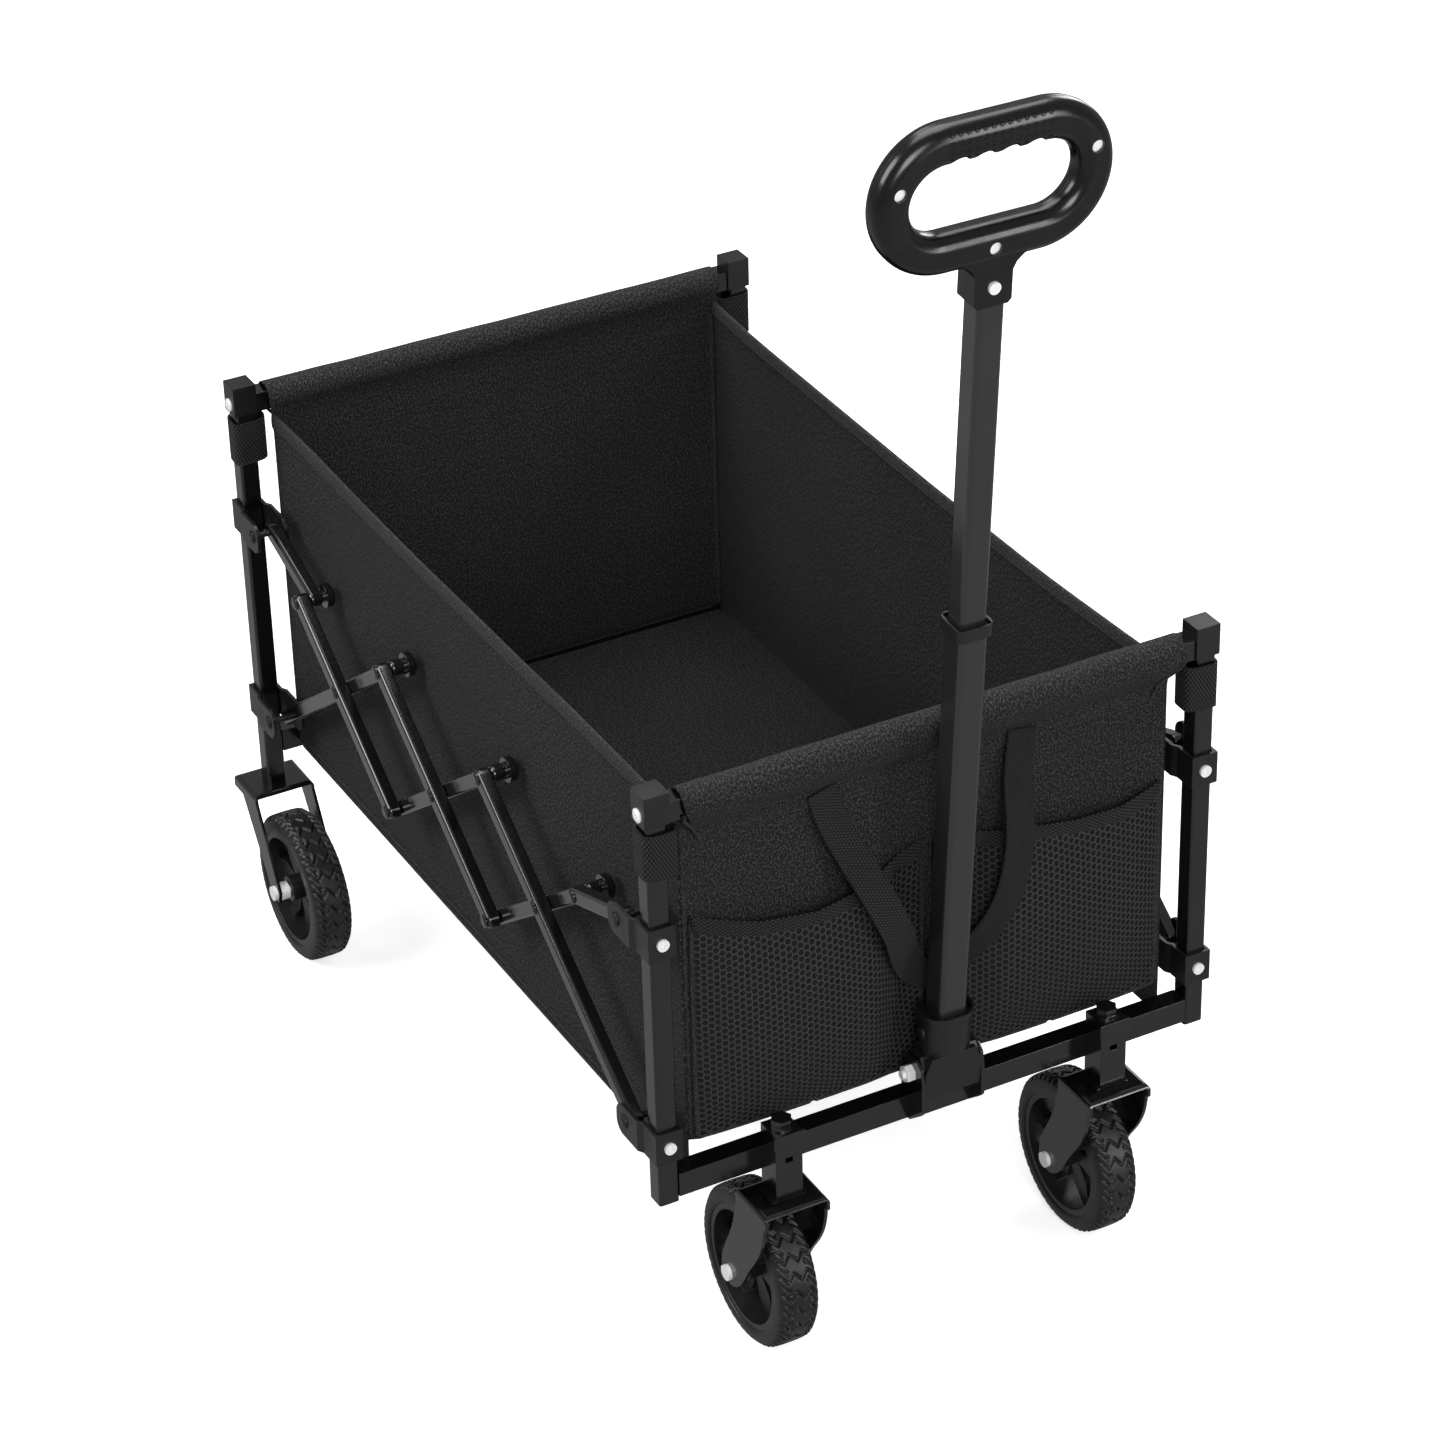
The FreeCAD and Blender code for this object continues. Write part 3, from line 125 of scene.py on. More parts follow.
def cloth(name, points, thick, material, wrap_rows=False):
    """A sheet: the grid points moved half the thickness each way along the normals, closed round its edge."""
    rows, columns, _ = points.shape
    normal = grid_normals(points, wrap_rows)
    lift = normal * thick / 2
    both = np.concatenate([(points + lift).reshape(-1, 3), (points - lift).reshape(-1, 3)])
    top = quads(rows, columns, wrap_rows)
    under = top[:, ::-1] + rows * columns
    ids = np.arange(rows * columns).reshape(rows, columns)
    if wrap_rows:
        loops = [np.append(ids[:, 0], ids[0, 0])[::-1], np.append(ids[:, -1], ids[0, -1])]
    else:
        loops = [np.concatenate([ids[0, :], ids[1:, -1], ids[-1, -2::-1], ids[-2::-1, 0]])[::-1]]
    rims = []
    for loop in loops:
        a, b = loop[:-1], loop[1:]
        rims.append(np.stack([a, b, b + rows * columns, a + rows * columns], -1)[:, ::-1])
    uv = np.stack([lengths(points, 0), lengths(points, 1)], -1).reshape(-1, 2)
    faces = np.concatenate([top, under, *rims])
    return add_mesh(name, both, faces, material, np.concatenate([uv, uv]))


def smooth_path(corners, count):
    """Points evenly spaced by number along a Catmull-Rom curve through the corners."""
    c = np.array(corners, float)
    c = np.concatenate([[2 * c[0] - c[1]], c, [2 * c[-1] - c[-2]]])
    t = np.linspace(0, len(corners) - 1 - 1e-9, count)
    k = t.astype(int)
    f = (t - k)[:, None]
    p0, p1, p2, p3 = c[k], c[k + 1], c[k + 2], c[k + 3]
    bend = 2 * p0 - 5 * p1 + 4 * p2 - p3
    twist = 3 * p1 - p0 - 3 * p2 + p3
    return 0.5 * (2 * p1 + (p2 - p0) * f + bend * f**2 + twist * f**3)


def cord_of(name, path, radius, material, sides=10):
    """A round cord: circles of the given radius square to the path, ends closed to a point."""
    path = np.array(path, float)
    ahead = np.gradient(path, axis=0)
    ahead /= np.linalg.norm(ahead, axis=1, keepdims=True)
    guide = np.array([0.0, 0.0, 1.0]) if abs(ahead[0, 2]) < 0.9 else np.array([1.0, 0.0, 0.0])
    side = np.cross(ahead, guide)
    side /= np.linalg.norm(side, axis=1, keepdims=True)
    up = np.cross(side, ahead)
    turn = np.linspace(0, 2 * math.pi, sides, endpoint=False)
    size = np.full(len(path), radius)
    size[0] = size[-1] = radius * 0.05
    ring = np.cos(turn)[None, :, None] * side[:, None] + np.sin(turn)[None, :, None] * up[:, None]
    points = path[:, None] + ring * size[:, None, None]
    along = np.repeat(lengths(path[:, None], 0), sides, 1)
    around = np.broadcast_to(turn * radius, (len(path), sides))
    uv = np.stack([along, around], -1)
    faces = quads(len(path), sides, False, True)
    return add_mesh(name, points.reshape(-1, 3), faces, material, uv.reshape(-1, 2))


def stitches(name, path, material, pitch=0.0042, long=0.003, radius=0.00042):
    """A row of stitches: along the path, one small six-sided bead every pitch."""
    path = np.array(path, float)
    run = lengths(path[:, None], 0)[:, 0]
    spots = np.arange(pitch / 2, run[-1], pitch)
    centre = np.stack([np.interp(spots, run, path[:, k]) for k in range(3)], -1)
    after = np.stack([np.interp(spots + 1e-4, run, path[:, k]) for k in range(3)], -1)
    before = np.stack([np.interp(spots - 1e-4, run, path[:, k]) for k in range(3)], -1)
    ahead = (after - before) / np.maximum(np.linalg.norm(after - before, axis=1, keepdims=True), 1e-12)
    side = np.cross(ahead, [0.31, 0.52, 0.79])
    side /= np.linalg.norm(side, axis=1, keepdims=True)
    up = np.cross(side, ahead)
    turn = np.linspace(0, 2 * math.pi, 6, endpoint=False)
    rings = []
    for place, share in ((-0.5, 0.25), (-0.25, 1.0), (0.25, 1.0), (0.5, 0.25)):
        ring = np.cos(turn)[None, :, None] * side[:, None] + np.sin(turn)[None, :, None] * up[:, None]
        rings.append(centre[:, None] + ahead[:, None] * long * place + ring * radius * share)
    points = np.stack(rings, 1)
    one = quads(4, 6, False, True)
    faces = (one[None] + np.arange(len(spots))[:, None, None] * 24).reshape(-1, 4)
    return add_mesh(name, points.reshape(-1, 3), faces, material)


def wander(a, b, seed):
    """A smooth uneven value about -1 to 1: five sine waves in a and b with seeded slopes."""
    rng = np.random.default_rng(seed)
    total = np.zeros(np.broadcast(a, b).shape)
    for k in range(5):
        wave, slant, start = rng.uniform(6, 14) * (1 + 0.7 * k), rng.uniform(-1, 1), rng.uniform(0, 6.28)
        total = total + np.sin(wave * (a + slant * b) + start) / (1 + k)
    return total / 1.8


# ---------------------------------------------------------------- material builders


class Nodes:
    """A material or node group under construction."""

    def __init__(self, tree):
        self.tree = tree

    def add(self, kind, **values):
        node = self.tree.nodes.new(kind)
        for key, given in values.items():
            setattr(node, key, given)
        return node

    def put(self, socket, given):
        """Link a socket, or set its number or colour."""
        if isinstance(given, bpy.types.NodeSocket):
            self.tree.links.new(given, socket)
        elif given is not None:
            socket.default_value = given

    def sum(self, operation, a, b=None, c=None):
        """A maths node's value."""
        node = self.add("ShaderNodeMath", operation=operation)
        for socket, given in zip(node.inputs, (a, b, c)):
            self.put(socket, given)
        return node.outputs[0]

    def parts(self, vector):
        """A vector's three values."""
        node = self.add("ShaderNodeSeparateXYZ")
        self.put(node.inputs[0], vector)
        return node.outputs

    def noise(self, vector, scale, detail=3.0, roughness=0.5, stretch=None):
        """Noise from 0 to 1, with the space stretched first if asked."""
        if stretch:
            mapping = self.add("ShaderNodeMapping")
            self.put(mapping.inputs["Vector"], vector)
            mapping.inputs["Scale"].default_value = stretch
            vector = mapping.outputs[0]
        node = self.add("ShaderNodeTexNoise")
        self.put(node.inputs["Vector"], vector)
        self.put(node.inputs["Scale"], scale)
        self.put(node.inputs["Detail"], detail)
        self.put(node.inputs["Roughness"], roughness)
        return node.outputs["Fac"]

    def ranged(self, given, low, high, to_low, to_high):
        """A value moved from one range to another and kept inside it."""
        node = self.add("ShaderNodeMapRange")
        for socket, number in zip(node.inputs, (given, low, high, to_low, to_high)):
            self.put(socket, number)
        return node.outputs[0]

    def mix(self, share, a, b):
        """Two colours mixed."""
        node = self.add("ShaderNodeMix", data_type="RGBA")
        self.put(node.inputs[0], share)
        self.put(node.inputs[6], a)
        self.put(node.inputs[7], b)
        return node.outputs[2]

    def bump(self, height, distance, strength=1.0, normal=None):
        """A bumped normal; the distance is in metres."""
        node = self.add("ShaderNodeBump")
        self.put(node.inputs["Height"], height)
        self.put(node.inputs["Distance"], distance)
        self.put(node.inputs["Strength"], strength)
        if normal is not None:
            self.put(node.inputs["Normal"], normal)
        return node.outputs[0]

    def softened(self, radius):
        """The normal rounded over sharp edges, as paint and moulding leave them."""
        node = self.add("ShaderNodeBevel", samples=4)
        node.inputs["Radius"].default_value = radius
        return node.outputs[0]

    def object_place(self):
        return self.add("ShaderNodeTexCoord").outputs["Object"]

    def cloth_place(self):
        return self.add("ShaderNodeUVMap", uv_map="cloth").outputs[0]

    def wave(self, value, pitch):
        """A sine of a value with the given pitch, from 0 to 1."""
        turned = self.sum("SINE", self.sum("MULTIPLY", value, 2 * math.pi / pitch))
        return self.sum("MULTIPLY_ADD", turned, 0.5, 0.5)


def material(name):
    """A new material with its Principled shader."""
    item = bpy.data.materials.new(name)
    item.use_nodes = True
    nodes = Nodes(item.node_tree)
    return item, nodes, item.node_tree.nodes["Principled BSDF"]


def shade(nodes, shader, **values):
    """Set or link the Principled shader's inputs; an underscore stands for a space."""
    for key, given in values.items():
        nodes.put(shader.inputs[key.replace("_", " ")], given)


def weave_group():
    """A plain weave: Height and Shade from two thread waves that pass over one another."""
    group = bpy.data.node_groups.new("plain weave", "ShaderNodeTree")
    group.interface.new_socket("Vector", in_out="INPUT", socket_type="NodeSocketVector")
    group.interface.new_socket("Pitch", in_out="INPUT", socket_type="NodeSocketFloat")
    group.interface.new_socket("Height", in_out="OUTPUT", socket_type="NodeSocketFloat")
    group.interface.new_socket("Shade", in_out="OUTPUT", socket_type="NodeSocketFloat")
    n = Nodes(group)
    given, out = n.add("NodeGroupInput"), n.add("NodeGroupOutput")
    u, v, _ = n.parts(given.outputs["Vector"])
    waves = []
    for value in (u, v):
        turn = n.sum("MULTIPLY", n.sum("DIVIDE", value, given.outputs["Pitch"]), math.pi)
        waves.append((n.sum("ABSOLUTE", n.sum("SINE", turn)), n.sum("SIGN", n.sum("SINE", turn))))
    over = n.sum("MULTIPLY", waves[0][1], waves[1][1])
    first = n.sum("MULTIPLY", waves[0][0], n.sum("MULTIPLY_ADD", over, 0.35, 0.65))
    second = n.sum("MULTIPLY", waves[1][0], n.sum("MULTIPLY_ADD", over, -0.35, 0.65))
    height = n.sum("MAXIMUM", first, second)
    n.put(out.inputs["Height"], height)
    n.put(out.inputs["Shade"], n.ranged(height, 0.2, 0.95, 0.0, 1.0))
    return group


WEAVE = weave_group()


def woven(name, pitch, dark, light, depth, sheen, rough=0.78, sewn=True):
    """Coated woven cloth: weave, slubs, faint uneven dye, dust in the dips and a soft sheen."""
    item, n, shader = material(name)
    place = n.cloth_place() if sewn else n.object_place()
    weave = n.add("ShaderNodeGroup", node_tree=WEAVE)
    n.put(weave.inputs["Vector"], place)
    weave.inputs["Pitch"].default_value = pitch
    patch = n.noise(place, 9.0, 4.0)
    thread = n.noise(place, 430.0, 1.0, 0.6, (1.0, 1.5, 1.0))
    slub = n.ranged(thread, 0.46, 0.66, 0.0, 1.0)
    share = n.sum("MULTIPLY", n.sum("MULTIPLY_ADD", weave.outputs["Shade"], 0.65, 0.35), slub)
    colour = n.mix(share, dark, light)
    uneven = n.ranged(patch, 0.3, 0.7, 0.88, 1.12)
    tint = n.add("ShaderNodeHueSaturation")
    n.put(tint.inputs["Color"], colour)
    n.put(tint.inputs["Value"], uneven)
    fine = n.bump(n.sum("ADD", weave.outputs["Height"], n.sum("MULTIPLY", thread, 0.35)), depth)
    shade(
        n, shader, Base_Color=tint.outputs[0], Normal=n.bump(patch, 0.0012, 0.5, fine),
        Roughness=n.ranged(patch, 0.2, 0.8, rough - 0.08, rough + 0.06),
        Sheen_Weight=sheen, Sheen_Roughness=0.45, Sheen_Tint=(0.75, 0.77, 0.8, 1), Specular_IOR_Level=0.3,
    )
    return item


def webbing(name):
    """Coarse ribbed webbing: raised slanting ribs with a fine twist and a firmer edge."""
    item, n, shader = material(name)
    place = n.cloth_place()
    u, v, _ = n.parts(place)
    rib = n.wave(n.sum("ADD", u, n.sum("MULTIPLY", v, 0.6)), 0.0030)
    cross = n.wave(n.sum("SUBTRACT", u, n.sum("MULTIPLY", v, 0.6)), 0.0030)
    height = n.sum("MULTIPLY", rib, cross)
    fuzz = n.noise(place, 900.0, 2.0)
    dip, yarn = (0.0022, 0.0022, 0.0024, 1), (0.045, 0.045, 0.047, 1)
    colour = n.mix(n.ranged(height, 0.2, 0.8, 0.0, 1.0), dip, yarn)
    shade(
        n, shader, Base_Color=colour, Normal=n.bump(n.sum("MULTIPLY_ADD", fuzz, 0.3, height), 0.0009),
        Roughness=n.ranged(fuzz, 0.3, 0.7, 0.62, 0.8), Sheen_Weight=0.03, Sheen_Roughness=0.5,
        Specular_IOR_Level=0.3,
    )
    return item


def mesh_cloth(name):
    """Knitted mesh: six-sided holes in rows, each row half a hole on; open in the holes."""
    item, n, shader = material(name)
    u, v, _ = n.parts(n.cloth_place())
    wide, tall = 0.0060, 0.0060 * 0.87 * 2
    nearest = None
    for shift_u, shift_v in ((0.0, 0.0), (wide / 2, tall / 2)):
        a = n.sum("SUBTRACT", n.sum("WRAP", n.sum("ADD", u, shift_u), wide, 0.0), wide / 2)
        b = n.sum("SUBTRACT", n.sum("WRAP", n.sum("ADD", v, shift_v), tall, 0.0), tall / 2)
        a, b = n.sum("ABSOLUTE", a), n.sum("ABSOLUTE", b)
        slanted = n.sum("ADD", n.sum("MULTIPLY", a, 0.5), n.sum("MULTIPLY", b, 0.866))
        edge = n.sum("MAXIMUM", a, slanted)
        nearest = edge if nearest is None else n.sum("MINIMUM", nearest, edge)
    strand = n.ranged(nearest, wide * 0.36, wide * 0.44, 0.0, 1.0)
    twist = n.wave(n.sum("ADD", u, v), 0.0011)
    colour = n.mix(strand, (0.0022, 0.0022, 0.0024, 1), (0.034, 0.034, 0.036, 1))
    shade(
        n, shader, Base_Color=colour, Roughness=0.7, Sheen_Weight=0.02, Sheen_Roughness=0.5,
        Alpha=n.ranged(nearest, wide * 0.30, wide * 0.38, 0.45, 1.0),
        Normal=n.bump(n.sum("MULTIPLY_ADD", twist, 0.25, strand), 0.0008),
    )
    return item


def coated(name, colour, rough, peel, coat=0.0, wear=0.5):
    """Painted steel: faint orange peel, fine dust and handling marks in the gloss."""
    item, n, shader = material(name)
    place = n.object_place()
    fine, broad = n.noise(place, 900.0, 2.0), n.noise(place, 26.0, 4.0, 0.6)
    scuff = n.noise(place, 130.0, 5.0, 0.7, (1.0, 1.0, 0.15))
    lighter = tuple(min(1.0, c * 1.7) for c in colour[:3]) + (1,)
    marks = n.sum("MULTIPLY", n.ranged(scuff, 0.62, 0.75, 0.0, 1.0), wear)
    gloss = n.ranged(broad, 0.3, 0.7, rough - 0.05, rough + 0.07)
    shade(
        n, shader, Base_Color=n.mix(marks, colour, lighter),
        Roughness=n.sum("ADD", gloss, n.sum("MULTIPLY", marks, 0.12)),
        Normal=n.bump(n.sum("MULTIPLY_ADD", broad, 0.4, fine), peel, 1.0, n.softened(0.0011)),
        Coat_Weight=coat, Coat_Roughness=0.12, Specular_IOR_Level=0.6,
    )
    return item


def moulded(name, colour, rough, grain):
    """Moulded plastic: fine spark-erosion grain with smoother worn patches."""
    item, n, shader = material(name)
    place = n.object_place()
    fine, broad = n.noise(place, 1500.0, 2.0, 0.6), n.noise(place, 40.0, 3.0)
    lighter = tuple(c * 1.35 for c in colour[:3]) + (1,)
    shade(
        n, shader, Base_Color=n.mix(n.ranged(fine, 0.3, 0.7, 0.0, 1.0), colour, lighter),
        Roughness=n.ranged(broad, 0.3, 0.7, rough - 0.06, rough + 0.08),
        Normal=n.bump(fine, grain, 1.0, n.softened(0.0009)),
        Specular_IOR_Level=0.5,
    )
    return item


def grip_moulding(name, colour, rough):
    """Grip plastic: fine grain, and rows of round dimples on the hand bar, set out in the handle's frame."""
    item, n, shader = material(name)
    place = n.object_place()
    x, y, z = n.parts(place)
    y, z = n.sum("SUBTRACT", y, PIVOT[1]), n.sum("SUBTRACT", z, PIVOT[2])
    ahead = n.sum("MULTIPLY_ADD", y, math.cos(LEAN), n.sum("MULTIPLY", z, math.sin(LEAN)))
    up = n.sum("MULTIPLY_ADD", y, -math.sin(LEAN), n.sum("MULTIPLY", z, math.cos(LEAN)))
    pitch, columns, rows = 0.0068, 13, 4
    row = n.sum("SUBTRACT", up, GRIP_MIDDLE + 0.0340)
    a = n.sum("SUBTRACT", x, n.sum("SNAP", n.sum("ADD", x, pitch / 2), pitch))
    b = n.sum("SUBTRACT", row, n.sum("SNAP", n.sum("ADD", row, pitch / 2), pitch))
    apart = n.sum("SQRT", n.sum("ADD", n.sum("MULTIPLY", a, a), n.sum("MULTIPLY", b, b)))
    inside = n.sum("LESS_THAN", n.sum("ABSOLUTE", x), pitch * columns / 2)
    inside = n.sum("MULTIPLY", inside, n.sum("GREATER_THAN", row, -pitch / 2))
    inside = n.sum("MULTIPLY", inside, n.sum("LESS_THAN", row, pitch * (rows - 0.5)))
    inside = n.sum("MULTIPLY", inside, n.sum("LESS_THAN", ahead, -0.003))
    dimple = n.sum("MULTIPLY", n.ranged(apart, 0.0010, 0.0021, 1.0, 0.0), inside)
    fine, broad = n.noise(place, 1500.0, 2.0, 0.6), n.noise(place, 40.0, 3.0)
    grain = n.bump(fine, 0.00002, 1.0, n.softened(0.0009))
    shade(
        n, shader, Base_Color=n.mix(dimple, colour, (0.0008, 0.0008, 0.0008, 1)),
        Roughness=n.ranged(broad, 0.3, 0.7, rough - 0.04, rough + 0.06),
        Normal=n.bump(n.sum("SUBTRACT", 1.0, dimple), 0.0014, 1.0, grain), Specular_IOR_Level=0.5,
    )
    return item


def zinc(name):
    """Bright zinc plate: cloudy gloss, fine turning lines and a few dull specks."""
    item, n, shader = material(name)
    place = n.object_place()
    cloud, line = n.noise(place, 120.0, 4.0), n.noise(place, 700.0, 2.0, 0.5, (1.0, 0.08, 1.0))
    shade(
        n, shader, Base_Color=n.mix(cloud, (0.90, 0.90, 0.91, 1), (1.0, 1.0, 1.0, 1)), Metallic=0.15,
        Roughness=n.ranged(cloud, 0.3, 0.7, 0.38, 0.52), Normal=n.bump(line, 0.00006),
    )
    return item


def rubber(name):
    """Tyre rubber: dull, faintly mottled, with dust caught in the tread."""
    item, n, shader = material(name)
    place = n.object_place()
    fine, broad = n.noise(place, 1100.0, 3.0, 0.6), n.noise(place, 35.0, 3.0)
    clean, dusty = (0.006, 0.006, 0.0063, 1), (0.014, 0.014, 0.0145, 1)
    shade(
        n, shader, Base_Color=n.mix(n.ranged(broad, 0.35, 0.7, 0.0, 1.0), clean, dusty),
        Roughness=n.ranged(broad, 0.3, 0.7, 0.34, 0.46), Normal=n.bump(fine, 0.0001), Specular_IOR_Level=0.5,
    )
    return item


CLOTH_DIP = (0.0016, 0.0016, 0.0018, 1)
OXFORD_YARN, LINING_YARN = (0.092, 0.0925, 0.098, 1), (0.096, 0.0965, 0.101, 1)
TAPE_DIP, TAPE_YARN = (0.006, 0.006, 0.0065, 1), (0.065, 0.065, 0.068, 1)
THREAD_DIP, THREAD_YARN = (0.012, 0.012, 0.013, 1), (0.06, 0.06, 0.063, 1)

OXFORD = woven("black oxford cloth", 0.0013, CLOTH_DIP, OXFORD_YARN, 0.0012, 0.04)
LINING = woven("black coated lining", 0.0013, CLOTH_DIP, LINING_YARN, 0.0012, 0.04)
TAPE = woven("black binding tape", 0.0016, TAPE_DIP, TAPE_YARN, 0.0008, 0.1, 0.7)
WEBBING = webbing("black webbing")
THREAD = woven("black sewing thread", 0.0006, THREAD_DIP, THREAD_YARN, 0.0002, 0.2, 0.6, sewn=False)
HEX_MESH = mesh_cloth("black hexagonal mesh")
FRAME_STEEL = coated("black powder coat", (0.0035, 0.0035, 0.0038, 1), 0.17, 0.00004, 0.3, 0.25)
BAR_STEEL = coated("black gloss paint", (0.0035, 0.0035, 0.0038, 1), 0.14, 0.00002, 0.6, 0.25)
HANDLE_STEEL = coated("dark satin paint", (0.017, 0.017, 0.0175, 1), 0.22, 0.00003, 0.3, 0.25)
MOULDING = moulded("black nylon moulding", (0.006, 0.006, 0.0063, 1), 0.34, 0.00008)
GRIP_PLASTIC = grip_moulding("black grip moulding", (0.002, 0.002, 0.0022, 1), 0.22)
RIM_PLASTIC = moulded("black wheel moulding", (0.011, 0.011, 0.0115, 1), 0.30, 0.00008)
ZINC = zinc("bright zinc")
RUBBER = rubber("black tyre rubber")

SLOT_MATERIALS = {
    "frame_steel": FRAME_STEEL,
    "lattice_steel": BAR_STEEL,
    "handle_steel": HANDLE_STEEL,
    "moulding": MOULDING,
    "grip_plastic": GRIP_PLASTIC,
    "zinc": ZINC,
    "rim_plastic": RIM_PLASTIC,
    "tyre_rubber": RUBBER,
    "tub_fabric": OXFORD,
    "pocket_mesh": HEX_MESH,
}


def dress_cad():
    """Give every node of the frame the material of its slot."""
    for part in frame["record"]["subparts"]:
        item = frame["nodes"][part["node"]]
        item.data.materials.clear()
        item.data.materials.append(SLOT_MATERIALS[part["material_slot"]])


dress_cad()

# ---------------------------------------------------------------- tub


def end_panel(end, way):
    """An end wall: cloth up the inside, over the top tube and down the outside as a sewn flap.
    The profile is straight, then round the tube on a circle, then eases back on to the wall; the sheet's
    half width narrows along the flap so that its ends slant."""
    centre = MID + way * HALF_LENGTH
    wall = MID + way * END_TUB
    radius, foot = SLEEVE_RADIUS, (BASE + 0.043 if way < 0 else FLOOR_TOP + 0.0015)
    turn = np.radians(np.linspace(-40, 180, 34))
    rise = np.linspace(foot, TUBE_Z - 0.026, 60)
    profile = [(wall, z) for z in rise]
    profile += [(centre - way * radius * math.cos(t), TUBE_Z + radius * math.sin(t)) for t in turn]
    out = centre + way * radius
    flap_end = wall + way * 0.0024
    profile += smooth_path(
        [(out, TUBE_Z - 0.004), (out - way * 0.0045, TUBE_Z - 0.014),
         (flap_end + way * 0.002, TUBE_Z - 0.027),
         (flap_end, TUBE_Z - 0.034), (flap_end, FLAP_FOOT)], 22
    ).tolist()
    profile = np.array(profile)
    x = np.linspace(-1, 1, 150)
    low = np.clip((TUBE_Z - 0.002 - profile[:, 1]) / 0.041, 0, 1)
    half = np.where(np.arange(len(profile)) < 60, WALL_HALF, SLEEVE_HALF)
    tail = np.arange(len(profile)) >= 94
    half = np.where(tail, SLEEVE_HALF - 0.021 * low, half)
    half = np.convolve(np.pad(half, 3, mode="edge"), np.ones(7) / 7, "valid")
    points = np.zeros((len(profile), len(x), 3))
    points[..., 0] = half[:, None] * x[None]
    points[..., 1] = profile[:, 0:1]
    points[..., 2] = profile[:, 1:2]
    height = (points[..., 2] - foot) / (TUBE_Z - foot)
    loose = np.sin(math.pi * np.clip(height, 0, 1)) * (1 - x[None] ** 4)
    on_wall = (np.arange(len(profile)) < 60)[:, None]
    slack = 0.0022 + 0.0016 * wander(points[..., 0], points[..., 2], 3 + way)
    points[..., 1] -= way * on_wall * loose * slack
    soft = (~on_wall) * 0.0005 * wander(points[..., 0] * 3, points[..., 2] * 3, 9 + way)
    points[..., 2] += soft
    item = cloth(f"{end}_panel_cloth", points if way < 0 else points[:, ::-1], CLOTH_THICK, OXFORD)
    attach(item, f"{end}_frame")
    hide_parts(f"tub_{end}_panel")
    hems = []
    for k, drop in enumerate((0.0385, 0.0405)):
        line_y = flap_end + way * 0.0009
        hems.append(stitches(
            f"{end}_flap_stitch_{k}",
            [(s * FLAP_HALF, line_y, TUBE_Z - drop) for s in np.linspace(-1, 1, 40)], THREAD,
        ))
    inside_y = wall - way * 0.0011
    inner_line = [(s * 0.218, inside_y - way * 0.0002, TUBE_Z - 0.036) for s in np.linspace(-1, 1, 40)]
    hems.append(stitches(f"{end}_inner_stitch", inner_line, THREAD))
    for side, hand in SIDES:
        ends = [
            (hand * SLEEVE_HALF, out - way * 0.001, TUBE_Z - 0.006),
            (hand * 0.2245, out - way * 0.0055, TUBE_Z - 0.014),
            (hand * 0.213, flap_end + way * 0.003, TUBE_Z - 0.029),
            (hand * FLAP_HALF, flap_end + way * 0.001, FLAP_FOOT),
        ]
        hems.append(cord_of(f"{end}_flap_edge_{side}", smooth_path(ends, 24), 0.0016, TAPE))
    spread = np.linspace(-1, 1, 60)
    flap_line = [(s * FLAP_HALF, flap_end + way * 0.0004, FLAP_FOOT) for s in spread]
    hems.append(cord_of(f"{end}_flap_hem", flap_line, 0.0012, TAPE))
    foot_line = [(s * 0.2205, wall + way * 0.0006, foot - 0.0005) for s in spread]
    hems.append(cord_of(f"{end}_panel_hem", foot_line, 0.0019, TAPE))
    upright = np.linspace(foot, TUBE_Z - 0.028, 50)
    for side, hand in SIDES:
        corner = [(hand * 0.2208, wall - way * 0.0012, z) for z in upright]
        hems.append(cord_of(f"{end}_corner_seam_{side}", corner, 0.0021, TAPE))
    for hem in hems:
        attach(hem, f"{end}_frame")


